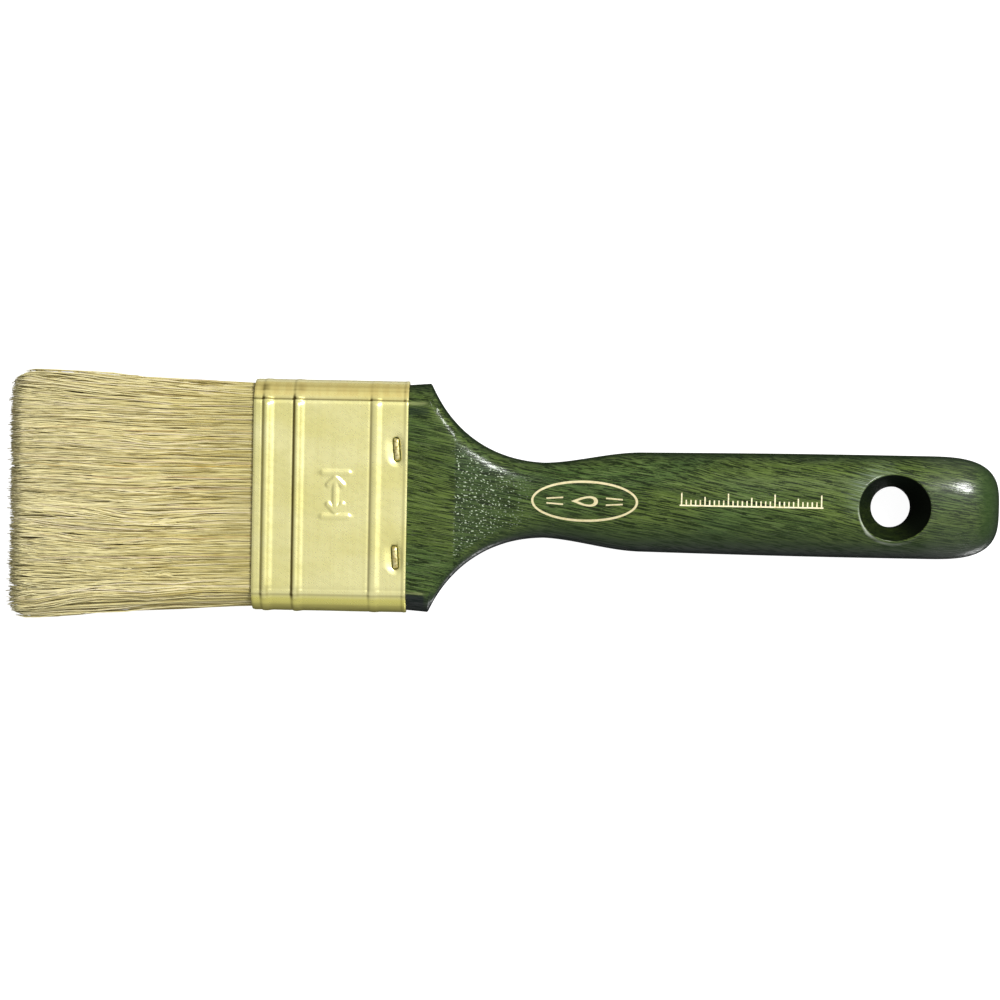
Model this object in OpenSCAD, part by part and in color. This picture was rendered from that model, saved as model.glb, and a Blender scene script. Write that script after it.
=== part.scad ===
// Flat paint brush, 50 mm wide: natural bristles in a rolled sheet-metal ferrule on a shaped wooden handle.
// X runs along the brush, with the bristle tips at -X and the handle's end at +X.
// Y is the brush's width and Z its thickness. The origin is below the middle of the brush,
// on the surface that it lies on. Distances "along the handle" start at the ferrule's rear edge.

/* [Whole brush] */
// Overall length, from the bristle tips to the handle's end
total_l = 215.5; // [208:0.5:230]
// Free length of the bristles, from the ferrule's mouth to the tips
bristle_l = 53.85; // [48:0.05:60]

/* [Ferrule] */
// Width over the narrow sides
ferrule_w = 50; // [49:0.5:52]
// Thickness over the flat faces
ferrule_t = 15; // [14.5:0.5:16]
// Length
ferrule_l = 33.2; // [33:0.1:38]
// Thickness of the sheet
sheet_t = 0.4; // [0.3:0.05:0.5]
// How far each narrow side bulges past the flat faces
side_bulge = 4.2; // [3.6:0.2:5]
// Height of the rolled beads
bead_h = 0.55; // [0.4:0.05:0.7]
// Width of the rolled beads
bead_w = 2.6; // [2.2:0.1:3]
// Depth of the dent that each staple lies in
dent_depth = 0.45; // [0.3:0.05:0.5]

/* [Handle] */
// Width of the neck
neck_w = 16.3; // [14:0.1:18]
// Thickness of the neck
neck_t = 10.6; // [9.5:0.1:14]
// Width of the grip at its widest
grip_w = 22.4; // [20:0.1:24]
// Thickness of the grip at its thickest
grip_t = 15.8; // [14:0.1:16]
// Length of the tenon inside the ferrule
tenon_l = 13; // [11:0.5:13]

/* [Hanging hole] */
// Radius of the straight waist in the middle of the hole
hole_r = 4.45; // [3.5:0.05:5]
// Length of the waist
hole_waist_l = 3; // [2:0.5:4]
// Radius of the funnel's rim at the handle's surface
hole_rim_r = 7.7; // [6.5:0.1:8]
// Distance from the hole's axis to the handle's end
hole_end_gap = 23.6; // [20:0.2:28]

/* [Bristles] */
// Width of the tuft at its tips
tuft_tip_w = 52.8; // [50:0.2:56]
// Half thickness of the tuft where it leaves the ferrule
tuft_half_t = 6.9; // [6.5:0.1:6.9]
// Half thickness of the tuft where its end starts to round off
tuft_end_half_t = 4.9; // [4:0.1:5.5]
// Gap between the tuft's round inner end and its seat
flex_gap = 0.3; // [0.3:0.05:0.5]

/* [Hidden] */
$fn = 96;
slack = 0.05;              // assembly play between the ferrule and what it holds
overcut = 1;               // how far a cutting tool runs past what it cuts

tip_x = -total_l / 2;
mouth_x = tip_x + bristle_l;
rear_x = mouth_x + ferrule_l;
end_x = total_l / 2;
handle_l = end_x - rear_x;
mid_z = ferrule_t / 2 + bead_h;    // the bead crests touch the surface below

// Ferrule: the flat faces end at the creases, and each narrow side is one arc
flat_half_w = ferrule_w / 2 - side_bulge;
side_r = (pow(ferrule_t / 2, 2) + pow(side_bulge, 2)) / (2 * side_bulge);
side_centre = ferrule_w / 2 - side_r;
bead_offsets = [2.85, 9.55, 26.4];    // bead centres, from the mouth
bead_r = (pow(bead_w / 2, 2) + pow(bead_h, 2)) / (2 * bead_h);
bead_depth = bead_r - bead_h;      // the bead circle's centre lies this far under the surface

// Staples: flat wire bent to a U, two on each face
staple_l = 5;
staple_wire_w = 1.1;
staple_wire_t = 0.6;
staple_leg_l = 5.5;
staple_bend_r = 0.9;
staple_rear_gap = 2.35;            // from the staple's centre line to the ferrule's rear edge
staple_x = rear_x - staple_rear_gap;
staple_left_y = 10.55;
staple_right_y = -12.65;
dent_r = 5;
dent_l = 6.4;
slot_slack = 0.02;

// Handle: half widths and half thicknesses along it
shoulder_half_w = 24.45;           // at the ferrule
shoulder_corner_half_w = 24.8;     // at the corner
shoulder_corner_s = 4.2;
waist_s = 31;                      // where the side curve ends at the neck
waist_l = 29;                      // the side curve's half axes and exponent
waist_rise = 32;
waist_power = 2.2;
grip_start_s = 28.5;
grip_full_s = 51;
grip_start_half_w = grip_w / 2 - 0.4;
grip_widest_l = 50;
butt_l = 16.5;                     // length and exponent of the rounded end, seen from above
butt_power = 3.2;
butt_t_l = 10;                     // the same, seen from the side
butt_t_power = 2.3;
face_l = 10;                       // the flat face behind the ferrule
shoulder_half_t = ferrule_t / 2 - sheet_t - slack;
shoulder_bulge = side_bulge - 0.3;
neck_thin_s = 27;
grip_thick_s = 75;
round_side_s = 30;                 // from here on the narrow sides are half round
arc_steps = 12;
tip_trim = 0.01;                   // the end is cut off here, where it is already a narrow strip

// Inside the ferrule, from the mouth
epoxy_start = 15;
spacer_start = 3;
spacer_w = 40;
spacer_t = 1.6;
layer_z = 2.3;                     // the bristle layers meet at this height above and below the middle
fill_half_t = ferrule_t / 2 - sheet_t - 2 * slack;
fill_bulge = side_bulge - 0.35;
fill_half_w = ferrule_w / 2 - sheet_t - 2 * slack;

// Tuft: it flexes about a line just outside the mouth
seat_r = tuft_half_t + flex_gap;
flex_out = seat_r;
flex_x = mouth_x - flex_out;
seat_lip = 3;                      // how far the seat's lips stand out of the mouth
tuft_l = bristle_l - flex_out;
tuft_straight = 9;                 // full thickness up to here, from the flex line
tuft_end_round = 8;                // length of the rounded tip
tuft_root_half_w = fill_half_w - 0.2;
tuft_side_r = 8.4;
tuft_corner_r = 4;                 // round corners of the tuft's end, seen from above
tuft_flare = atan((tuft_tip_w / 2 - tuft_root_half_w) / tuft_l);

function clamp01(t) = max(0, min(1, t));
function mix(a, b, t) = a + (b - a) * t;
function ease(t) = let (c = clamp01(t)) c * c * (3 - 2 * c);
function bow(t, power) = pow(1 - pow(clamp01(t), power), 1 / power);

// Half width of the handle, s along it
function shoulder(s) = mix(shoulder_half_w, shoulder_corner_half_w, max(0, s) / shoulder_corner_s);
function waist(s) = neck_w / 2 + waist_rise * (1 - bow((waist_s - s) / waist_l, waist_power));
function grip(s) = mix(neck_w / 2, grip_start_half_w, ease((s - grip_start_s) / (grip_full_s - grip_start_s)))
    + (grip_w / 2 - grip_start_half_w) * sin(90 * clamp01((s - grip_full_s) / grip_widest_l));
function half_w(s) = min(shoulder(s), max(waist(s), grip(s)))
    * bow((s - handle_l + butt_l) / butt_l, butt_power);

// Half thickness of the handle: a scoop starts sharply at the end of the flat face and runs out at the neck
function scoop_left(s) = 1 - clamp01((s - face_l) / (neck_thin_s - face_l));
function scoop(s) = mix(neck_t / 2, shoulder_half_t, pow(scoop_left(s), 2));
function belly(s) = mix(0, (grip_t - neck_t) / 2, ease((s - neck_thin_s) / (grip_thick_s - neck_thin_s)));
function half_t(s) = (scoop(s) + belly(s)) * bow((s - handle_l + butt_t_l) / butt_t_l, butt_t_power);

// Bulge of the handle's narrow sides, which grows until they are half round
function bulge(s) = min(half_w(s), mix(shoulder_bulge, half_t(s), ease(s / round_side_s)), half_t(s));

// One narrow side of a section, as [y, z] points on an arc from bottom to top
function side_arc(w, t, g) = let (
    r = (t * t + g * g) / (2 * g),
    a = asin(min(1, t / r))
) [for (i = [0 : arc_steps]) let (b = mix(-a, a, i / arc_steps)) [w - r + r * cos(b), r * sin(b)]];

function section(s) = let (right = side_arc(half_w(s), half_t(s), bulge(s)))
    concat(right, [for (i = [arc_steps : -1 : 0]) [-right[i][0], right[i][1]]]);

// Stations along the handle, closest where its shape changes fastest
handle_stations = concat(
    [-tenon_l, 0, 2, shoulder_corner_s],
    [for (s = [5 : 0.75 : 14]) s],
    [for (s = [15 : 1.5 : 51]) s],
    [for (s = [55 : 6 : handle_l - butt_l - 1]) s],
    [for (i = [0 : 11]) handle_l - butt_l * cos(90 * i / 12)],
    [handle_l - tip_trim]
);

// A closed skin over the sections at the stations
module skin(stations) {
    ring = 2 * (arc_steps + 1);
    rows = len(stations);
    points = [for (s = stations) for (p = section(s)) [rear_x + s, p[0], p[1]]];
    walls = [for (j = [0 : rows - 2]) for (i = [0 : ring - 1]) let (
        a = j * ring + i,
        b = j * ring + (i + 1) % ring
    ) each [[a, a + ring, b + ring], [a, b + ring, b]]];
    first_cap = [for (i = [0 : ring - 1]) i];
    last_cap = [for (i = [ring - 1 : -1 : 0]) (rows - 1) * ring + i];
    polyhedron(points, concat([first_cap], walls, [last_cap]), convexity = 6);
}

// The section of a slab whose narrow sides are arcs
module slab_section(half_width, half_thickness, bulge_depth) {
    r = (pow(half_thickness, 2) + pow(bulge_depth, 2)) / (2 * bulge_depth);
    square([2 * (half_width - bulge_depth), 2 * half_thickness], center = true);
    for (side = [-1, 1]) intersection() {
        translate([side * (half_width - r), 0]) circle(r);
        translate([side * half_width / 2, 0]) square([half_width, 2 * half_thickness], center = true);
    }
}

// A length of that slab along X, between two places
module slab_length(from_x, to_x, half_width, half_thickness, bulge_depth) {
    translate([from_x, 0, mid_z]) rotate([90, 0, 90])
        linear_extrude(to_x - from_x) slab_section(half_width, half_thickness, bulge_depth);
}

// The ring that a bead follows round the ferrule, with a given tube radius
module bead_ring(x, tube_r) {
    path_r = side_r - bead_depth;
    path_z = ferrule_t / 2 - bead_depth;
    turn = asin(path_z / path_r);
    corner_y = side_centre + path_r * cos(turn);
    translate([x, 0, mid_z]) for (side = [-1, 1]) {
        translate([0, 0, side * path_z]) rotate([90, 0, 0])
            cylinder(h = 2 * corner_y, r = tube_r, center = true);
        translate([0, side * side_centre, 0]) rotate([0, 90, 0]) rotate([0, 0, side * 90 - turn])
            rotate_extrude(angle = 2 * turn) translate([path_r, 0]) circle(tube_r);
        for (end = [-1, 1]) translate([0, side * corner_y, end * path_z]) sphere(tube_r);
    }
}

// The trough pressed into a flat face under a staple, as the tool that presses it
module dent_tool(y, face, r, l) {
    centre_z = ferrule_t / 2 - dent_depth + dent_r;
    translate([staple_x, y, mid_z + face * centre_z]) rotate([90, 0, 0])
        cylinder(h = l, r = r, center = true);
}

// All four places of a staple: $staple_y is its place across the brush, $face is 1 in front and -1 behind
module at_staples() {
    for ($face = [-1, 1]) for ($staple_y = [staple_left_y, staple_right_y]) children();
}

// The two slots that a staple's legs go through
module leg_slots(y, face) {
    slot = [staple_wire_w + 2 * slot_slack, staple_wire_t + 2 * slot_slack, staple_leg_l + overcut];
    for (end = [-1, 1]) translate([
        staple_x,
        y + end * (staple_l - staple_wire_t) / 2,
        mid_z + face * (ferrule_t / 2 + overcut - slot[2] / 2)
    ]) cube(slot, center = true);
}

module handle() {
    hole_x = end_x - hole_end_gap;
    rim_z = half_t(handle_l - hole_end_gap);
    cone_slope = (hole_rim_r - hole_r) / (rim_z - hole_waist_l / 2);
    cone_l = rim_z - hole_waist_l / 2 + overcut;
    color("darkolivegreen") difference() {
        translate([0, 0, mid_z]) skin(handle_stations);
        translate([hole_x, 0, mid_z]) {
            cylinder(h = ferrule_t + 2 * overcut, r = hole_r, center = true);
            for (face = [0, 180]) rotate([face, 0, 0]) translate([0, 0, hole_waist_l / 2])
                cylinder(h = cone_l, r1 = hole_r, r2 = hole_r + cone_l * cone_slope);
        }
        at_staples() {
            dent_tool($staple_y, $face, dent_r + sheet_t + slack, dent_l + 2 * (sheet_t + slack));
            leg_slots($staple_y, $face);
        }
    }
}

module ferrule() {
    inner_half_t = ferrule_t / 2 - sheet_t;
    inner_half_w = ferrule_w / 2 - sheet_t;
    inner_r = side_r - sheet_t;
    inner_bulge = inner_r - sqrt(pow(inner_r, 2) - pow(inner_half_t, 2));
    color("khaki") difference() {
        union() {
            difference() {
                union() {
                    slab_length(mouth_x, rear_x, ferrule_w / 2, ferrule_t / 2, side_bulge);
                    for (offset_x = bead_offsets) bead_ring(mouth_x + offset_x, bead_r);
                }
                slab_length(mouth_x - overcut, rear_x + overcut, inner_half_w, inner_half_t, inner_bulge);
                for (offset_x = bead_offsets) bead_ring(mouth_x + offset_x, bead_r - sheet_t);
            }
            at_staples() intersection() {
                dent_tool($staple_y, $face, dent_r + sheet_t, dent_l + 2 * sheet_t);
                translate([(mouth_x + rear_x) / 2, 0, mid_z])
                    cube([ferrule_l, ferrule_w, 2 * inner_half_t + sheet_t], center = true);
            }
        }
        at_staples() {
            dent_tool($staple_y, $face, dent_r, dent_l);
            leg_slots($staple_y, $face);
        }
    }
}

// One staple, its crown lying in the dent and its legs in the handle's tenon
module staple(y, face) {
    dent_sag = dent_r - sqrt(pow(dent_r, 2) - pow(staple_wire_w / 2, 2));
    crown_z = ferrule_t / 2 - dent_depth + dent_sag + slot_slack + staple_wire_t;
    leg_half = staple_l / 2;
    color("gold") translate([staple_x, y, mid_z]) rotate([0, face > 0 ? 0 : 180, 0])
        rotate([90, 0, 90]) linear_extrude(staple_wire_w, center = true) difference() {
            union() {
                translate([-leg_half, crown_z - staple_leg_l])
                    square([staple_l, staple_leg_l - staple_bend_r]);
                translate([-leg_half + staple_bend_r, crown_z - staple_leg_l])
                    square([staple_l - 2 * staple_bend_r, staple_leg_l]);
                for (end = [-1, 1]) translate([end * (leg_half - staple_bend_r), crown_z - staple_bend_r])
                    circle(staple_bend_r);
            }
            translate([-leg_half + staple_wire_t, crown_z - staple_leg_l - overcut])
                square([staple_l - 2 * staple_wire_t, staple_leg_l + overcut - staple_wire_t]);
        }
}

module front_staple_left() { staple(staple_left_y, 1); }
module front_staple_right() { staple(staple_right_y, 1); }
module back_staple_left() { staple(staple_left_y, -1); }
module back_staple_right() { staple(staple_right_y, -1); }

// The hardened resin that glues the bristle ends, filling the ferrule up to the tenon
module epoxy_setting() {
    color("peru") slab_length(
        mouth_x + epoxy_start, rear_x - tenon_l - slack, fill_half_w, fill_half_t, fill_bulge
    );
}

// A wooden strip between two layers of bristles, which leaves room for paint in front of it
module spacer(side) {
    spacer_l = epoxy_start - spacer_start;
    translate([mouth_x + spacer_start + spacer_l / 2, 0, mid_z + side * layer_z])
        cube([spacer_l, spacer_w, spacer_t], center = true);
}

module front_spacer() { color("burlywood") spacer(1); }
module back_spacer() { color("burlywood") spacer(-1); }

// A slice of the brush between two heights from its middle
module height_band(low, high) {
    translate([tip_x - overcut, -ferrule_w, mid_z + low])
        cube([total_l, 2 * ferrule_w, high - low]);
}

// The held ends of the bristles: they fill the ferrule from the resin to the seat of the free tuft
module roots(low, high) {
    difference() {
        intersection() {
            slab_length(mouth_x - seat_lip, mouth_x + epoxy_start, fill_half_w, fill_half_t, fill_bulge);
            height_band(low, high);
        }
        translate([flex_x, 0, mid_z]) rotate([90, 0, 0])
            cylinder(h = 2 * ferrule_w, r = seat_r, center = true);
        for (side = [-1, 1]) spacer(side);
    }
}

module front_roots() { color("wheat") roots(layer_z, ferrule_t); }
module middle_roots() { color("wheat") roots(-layer_z, layer_z); }
module back_roots() { color("wheat") roots(-ferrule_t, -layer_z); }

// The free tuft from the side, as [distance from the flex line, half thickness] points
tuft_taper_end = tuft_l - tuft_end_round;
tuft_profile = concat(
    [[0, tuft_half_t], [tuft_straight, tuft_half_t]],
    [for (i = [0 : 12]) [
        tuft_taper_end + tuft_end_round * sin(90 * i / 12),
        tuft_end_half_t * cos(90 * i / 12)
    ]]
);
tuft_side_outline = concat(
    [for (p = tuft_profile) [-p[0], p[1]]],
    [for (i = [len(tuft_profile) - 2 : -1 : 0]) [-tuft_profile[i][0], -tuft_profile[i][1]]]
);

// The free tuft seen from above: it flares towards the tips, and its end corners are round
module tuft_plan() {
    intersection() {
        polygon([
            [tuft_half_t, -tuft_root_half_w], [tuft_half_t, tuft_root_half_w], [0, tuft_root_half_w],
            [-tuft_l, tuft_tip_w / 2], [-tuft_l, -tuft_tip_w / 2], [0, -tuft_root_half_w],
        ]);
        union() {
            translate([tuft_corner_r - tuft_l, -tuft_tip_w / 2]) square([2 * tuft_l, tuft_tip_w]);
            translate([-tuft_l, tuft_corner_r - tuft_tip_w / 2])
                square([2 * tuft_corner_r, tuft_tip_w - 2 * tuft_corner_r]);
            for (side = [-1, 1]) translate([tuft_corner_r - tuft_l, side * (tuft_tip_w / 2 - tuft_corner_r)])
                circle(tuft_corner_r);
        }
    }
}

// Its core and its two rounded narrow sides, which run along the flare
module tuft_sides() {
    edge_inset = tuft_side_r - sqrt(pow(tuft_side_r, 2) - pow(tuft_half_t, 2));
    root_core_half_w = tuft_root_half_w - edge_inset;
    tip_core_half_w = tuft_tip_w / 2 - edge_inset;
    linear_extrude(ferrule_t, center = true) polygon([
        [tuft_half_t, -root_core_half_w], [tuft_half_t, root_core_half_w], [0, root_core_half_w],
        [-tuft_l, tip_core_half_w], [-tuft_l, -tip_core_half_w], [0, -root_core_half_w],
    ]);
    for (side = [-1, 1]) translate([0, side * (tuft_root_half_w - tuft_side_r), 0])
        rotate([0, 0, -side * tuft_flare]) translate([tuft_half_t + overcut, 0, 0]) rotate([0, -90, 0])
            cylinder(h = tuft_l + tuft_half_t + 2 * overcut, r = tuft_side_r);
}

// The whole free tuft, with a round inner end that turns in its seat
module tuft() {
    translate([flex_x, 0, mid_z]) intersection() {
        rotate([90, 0, 0]) union() {
            linear_extrude(2 * ferrule_w, center = true) polygon(tuft_side_outline);
            cylinder(h = 2 * ferrule_w, r = tuft_half_t, center = true);
        }
        linear_extrude(ferrule_t, center = true) tuft_plan();
        tuft_sides();
    }
}

module tuft_layer(low, high) {
    intersection() {
        tuft();
        height_band(low, high);
    }
}

module front_bristles() { color("khaki") tuft_layer(layer_z, ferrule_t); }
module middle_bristles() { color("palegoldenrod") tuft_layer(-layer_z, layer_z); }
module back_bristles() { color("khaki") tuft_layer(-ferrule_t, -layer_z); }

handle();
ferrule();
front_staple_left();
front_staple_right();
back_staple_left();
back_staple_right();
epoxy_setting();
front_spacer();
back_spacer();
front_roots();
middle_roots();
back_roots();
front_bristles();
middle_bristles();
back_bristles();
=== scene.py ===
"""Looks of a flat paint brush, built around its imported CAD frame.

The brush lies along X, bristle tips at -X and the handle's end at +X, Y is its width and Z its thickness.
Lengths in this script are millimetres, and become metres where a mesh is made. s is the distance along the
handle from the ferrule's rear edge. Colours are 0 to 255 screen values.
"""

import math
from types import SimpleNamespace

import bmesh
import bpy
import numpy as np
from mathutils import Matrix, Vector


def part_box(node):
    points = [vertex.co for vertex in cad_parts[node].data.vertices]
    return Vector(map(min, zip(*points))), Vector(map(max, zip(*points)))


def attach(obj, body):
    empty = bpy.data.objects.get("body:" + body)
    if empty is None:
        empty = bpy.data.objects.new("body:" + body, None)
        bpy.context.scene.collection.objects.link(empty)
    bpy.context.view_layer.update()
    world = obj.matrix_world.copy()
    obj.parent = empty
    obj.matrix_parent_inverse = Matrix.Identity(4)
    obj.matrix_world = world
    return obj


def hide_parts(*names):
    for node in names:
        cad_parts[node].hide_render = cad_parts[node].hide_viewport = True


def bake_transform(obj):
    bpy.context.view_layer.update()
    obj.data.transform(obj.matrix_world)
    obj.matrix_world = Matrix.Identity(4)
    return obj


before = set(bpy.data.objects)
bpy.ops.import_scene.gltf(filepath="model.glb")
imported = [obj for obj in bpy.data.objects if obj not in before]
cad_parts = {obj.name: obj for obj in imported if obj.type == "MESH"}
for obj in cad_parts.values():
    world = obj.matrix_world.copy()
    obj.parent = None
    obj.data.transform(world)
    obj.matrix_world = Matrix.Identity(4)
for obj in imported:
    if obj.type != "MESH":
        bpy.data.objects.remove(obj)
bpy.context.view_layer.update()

MM = 0.001
ROOT_BODY = "brush"
rng = np.random.default_rng(50)

# ---------------------------------------------------------------- driving sizes, from the frame


def box_mm(node):
    low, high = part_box(node)
    return np.array(low) / MM, np.array(high) / MM


ferrule_low, ferrule_high = box_mm("ferrule")
handle_low, handle_high = box_mm("handle")
tuft_low, tuft_high = box_mm("middle_bristles")

BEAD_H = 0.55
SHEET_T = 0.4
MID_Z = (ferrule_low[2] + ferrule_high[2]) / 2
MOUTH_X = ferrule_low[0]
REAR_X = ferrule_high[0]
FERRULE_L = REAR_X - MOUTH_X
FERRULE_HALF_W = ferrule_high[1] - BEAD_H
FERRULE_HALF_T = (ferrule_high[2] - ferrule_low[2]) / 2 - BEAD_H
SIDE_BULGE = 4.2               # of the ferrule's arc-shaped narrow sides
FERRULE_CREASE_Y = FERRULE_HALF_W - SIDE_BULGE
FERRULE_SIDE_R = 8.796         # of those arcs
HANDLE_L = handle_high[0] - REAR_X
TENON_L = REAR_X - handle_low[0]
TIP_X = tuft_low[0]
TUFT_L = MOUTH_X - TIP_X
TUFT_TIP_HALF_W = tuft_high[1]

HOLE_S = HANDLE_L - 23.6       # the hanging hole
HOLE_R = 4.45
HOLE_WAIST_L = 3.0
HOLE_RIM_R = 7.6
HOLE_RIM_ROUND = 0.55

# ---------------------------------------------------------------- small numeric helpers


def mix(a, b, t):
    return a + (b - a) * t


def clamp01(t):
    return np.clip(t, 0.0, 1.0)


def ease(t):
    t = clamp01(t)
    return t * t * (3 - 2 * t)


def bow(t, power):
    """Quarter of a superellipse: 1 at t = 0, falling to 0 at t = 1."""
    return np.power(np.maximum(1 - np.power(clamp01(t), power), 0.0), 1 / power)


def soft_min(a, b, width):
    """The smaller of a and b, with the corner between them rounded over about that width."""
    h = clamp01(0.5 + 0.5 * (b - a) / width)
    return b + (a - b) * h - width * h * (1 - h)


def bump(x, centre, half_width):
    """A smooth bump of height 1, and 0 beyond its half width."""
    t = clamp01(np.abs(x - centre) / half_width)
    return (1 - t * t) ** 2


def bell(x, centre, width):
    """A bell curve of height 1."""
    return np.exp(-(((x - centre) / width) ** 2))


def ripple(x, y, seed, wavelength):
    """A smooth, repeatable wavy field of amplitude about 1."""
    waves = np.random.default_rng(seed)
    total = 0.0
    for _ in range(5):
        angle = waves.uniform(0, 2 * math.pi)
        phase = waves.uniform(0, 2 * math.pi)
        k = 2 * math.pi / (wavelength * waves.uniform(0.7, 1.6))
        total = total + np.sin(k * (x * math.cos(angle) + y * math.sin(angle)) + phase)
    return total / 2.5


# ---------------------------------------------------------------- mesh helpers


def add_attributes(mesh, attributes):
    """Adds named values, one for each point."""
    for name, values in attributes.items():
        layer = mesh.attributes.new(name, "FLOAT", "POINT")
        layer.data.foreach_set("value", np.asarray(values, np.float32))


def mesh_piece(name, points, quads, smooth=True, attributes=None):
    """A mesh object from points and four-cornered faces. A triangle repeats its last corner."""
    points = np.asarray(points, float) * MM
    quads = np.asarray(quads, int)
    mesh = bpy.data.meshes.new(name)
    is_triangle = quads[:, 2] == quads[:, 3]
    if is_triangle.any():
        faces = [tuple(q[:3]) if three else tuple(q) for q, three in zip(quads.tolist(), is_triangle)]
        mesh.from_pydata(points.tolist(), [], faces)
    else:
        mesh.vertices.add(len(points))
        mesh.vertices.foreach_set("co", points.ravel())
        mesh.loops.add(4 * len(quads))
        mesh.loops.foreach_set("vertex_index", quads.ravel())
        mesh.polygons.add(len(quads))
        mesh.polygons.foreach_set("loop_start", np.arange(0, 4 * len(quads), 4))
        mesh.update(calc_edges=True)
    add_attributes(mesh, attributes or {})
    mesh.validate()
    mesh.polygons.foreach_set("use_smooth", [smooth] * len(mesh.polygons))
    mesh.update()
    piece = bpy.data.objects.new(name, mesh)
    bpy.context.scene.collection.objects.link(piece)
    return piece


class Points:
    """Collects points in blocks and hands back their indices in the same shape."""

    def __init__(self):
        self.blocks = []
        self.count = 0

    def add(self, block):
        block = np.asarray(block, float)
        flat = block.reshape(-1, 3)
        index = np.arange(self.count, self.count + len(flat)).reshape(block.shape[:-1])
        self.blocks.append(flat)
        self.count += len(flat)
        return index

    def all(self):
        return np.concatenate(self.blocks)


def grid_quads(index, wrap_rows=False, wrap_columns=False):
    """Quads between the neighbouring rows and columns of a grid of point indices."""
    if wrap_rows:
        index = np.concatenate([index, index[:1]], axis=0)
    if wrap_columns:
        index = np.concatenate([index, index[:, :1]], axis=1)
    a, b = index[:-1, :-1], index[1:, :-1]
    c, d = index[1:, 1:], index[:-1, 1:]
    return np.stack([a, b, c, d], axis=-1).reshape(-1, 4)


def all_quads(blocks):
    return np.concatenate([np.asarray(block).reshape(-1, 4) for block in blocks])


def point_outwards(piece):
    """Makes all faces of a closed mesh face outwards."""
    work = bmesh.new()
    work.from_mesh(piece.data)
    bmesh.ops.recalc_face_normals(work, faces=work.faces)
    work.to_mesh(piece.data)
    work.free()


# ---------------------------------------------------------------- node helpers


def rgb(red, green, blue):
    """A screen colour as linear values."""
    linear = [((c / 255 + 0.055) / 1.055) ** 2.4 if c > 10 else c / 255 / 12.92 for c in (red, green, blue)]
    return (*linear, 1)


class Nodes:
    """A node tree, with short calls for the nodes used here."""

    def __init__(self, tree):
        self.tree = tree

    def node(self, kind, inputs=None, **settings):
        made = self.tree.nodes.new("ShaderNode" + kind)
        for key, value in settings.items():
            setattr(made, key, value)
        for key, value in (inputs or {}).items():
            self.plug(value, made.inputs[key])
        return made

    def plug(self, value, socket):
        if isinstance(value, bpy.types.NodeSocket):
            self.tree.links.new(value, socket)
        else:
            socket.default_value = value

    def math(self, operation, *values):
        return self.node("Math", dict(enumerate(values)), operation=operation).outputs["Value"]

    def times(self, a, b):
        return self.math("MULTIPLY", a, b)

    def plus(self, total, *others):
        for other in others:
            total = self.math("ADD", total, other)
        return total

    def minus(self, a, b):
        return self.math("SUBTRACT", a, b)

    def levels(self, value, low, high, to_low=0.0, to_high=1.0, smooth=True):
        """Maps low..high to to_low..to_high, and holds the ends."""
        inputs = {"Value": value, "From Min": low, "From Max": high, "To Min": to_low, "To Max": to_high}
        kind = "SMOOTHSTEP" if smooth else "LINEAR"
        return self.node("MapRange", inputs, interpolation_type=kind).outputs["Result"]


class Shader(Nodes):
    """A material with a running base colour that others are laid over."""

    def __init__(self, name):
        self.material = bpy.data.materials.new(name)
        self.material.use_nodes = True
        super().__init__(self.material.node_tree)
        self.coordinates = self.node("TexCoord").outputs["Object"]
        self.colour = None

    def place(self, scale, offset=(0, 0, 0), turn_z=0.0, drift=None):
        """Object coordinates in millimetres, turned about Z, scaled by axis, moved, and shifted by drift."""
        placed = self.coordinates
        if turn_z:
            placed = self.node("Mapping", {"Vector": placed, "Rotation": (0, 0, turn_z)}).outputs["Vector"]
        per_metre = [value / MM for value in scale]
        mapping = self.node("Mapping", {"Vector": placed, "Location": offset, "Scale": per_metre})
        placed = mapping.outputs["Vector"]
        if drift:
            adding = self.node("VectorMath", {0: drift, 1: scale, 2: placed}, operation="MULTIPLY_ADD")
            placed = adding.outputs["Vector"]
        return placed

    def noise(self, scale, offset=(0, 0, 0), detail=2.0, roughness=0.5, **placing):
        """Noise of about one wave in 1 / scale millimetres, by axis."""
        vector = self.place(scale, offset, **placing)
        inputs = {"Vector": vector, "Scale": 1.0, "Detail": detail, "Roughness": roughness}
        return self.node("TexNoise", inputs).outputs["Fac"]

    def attribute(self, name, share=1.0):
        """A value of the mesh, times share."""
        value = self.node("Attribute", attribute_name=name).outputs["Fac"]
        return value if share == 1 else self.times(value, share)

    def ramp(self, value, stops, interpolation="EASE"):
        made = self.node("ValToRGB", {"Fac": value})
        made.color_ramp.interpolation = interpolation
        elements = made.color_ramp.elements
        while len(elements) < len(stops):
            elements.new(0.5)
        for element, (position, colour) in zip(elements, stops):
            element.position = position
            element.color = rgb(*colour)
        return made.outputs["Color"]

    def blend(self, factor, a, b):
        made = self.node("Mix", {"Factor": factor, "A": a, "B": b}, data_type="RGBA")
        return next(socket for socket in made.outputs if socket.type == "RGBA")

    def over(self, factor, *colour):
        """Lays a colour over the running one as far as factor says."""
        self.colour = self.blend(factor, self.colour, rgb(*colour))

    def bump_from(self, height, distance, strength):
        inputs = {"Strength": strength, "Distance": distance * MM, "Height": height}
        return self.node("Bump", inputs).outputs["Normal"]

    def finished(self, **inputs):
        """The material, with the running colour and these inputs on its surface."""
        surface = self.tree.nodes["Principled BSDF"]
        for key, value in {"Base_Color": self.colour, **inputs}.items():
            self.plug(value, surface.inputs[key.replace("_", " ")])
        return self.material


def dress(piece, material):
    piece.data.materials.clear()
    piece.data.materials.append(material)


# ---------------------------------------------------------------- camera, floor and light

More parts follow.
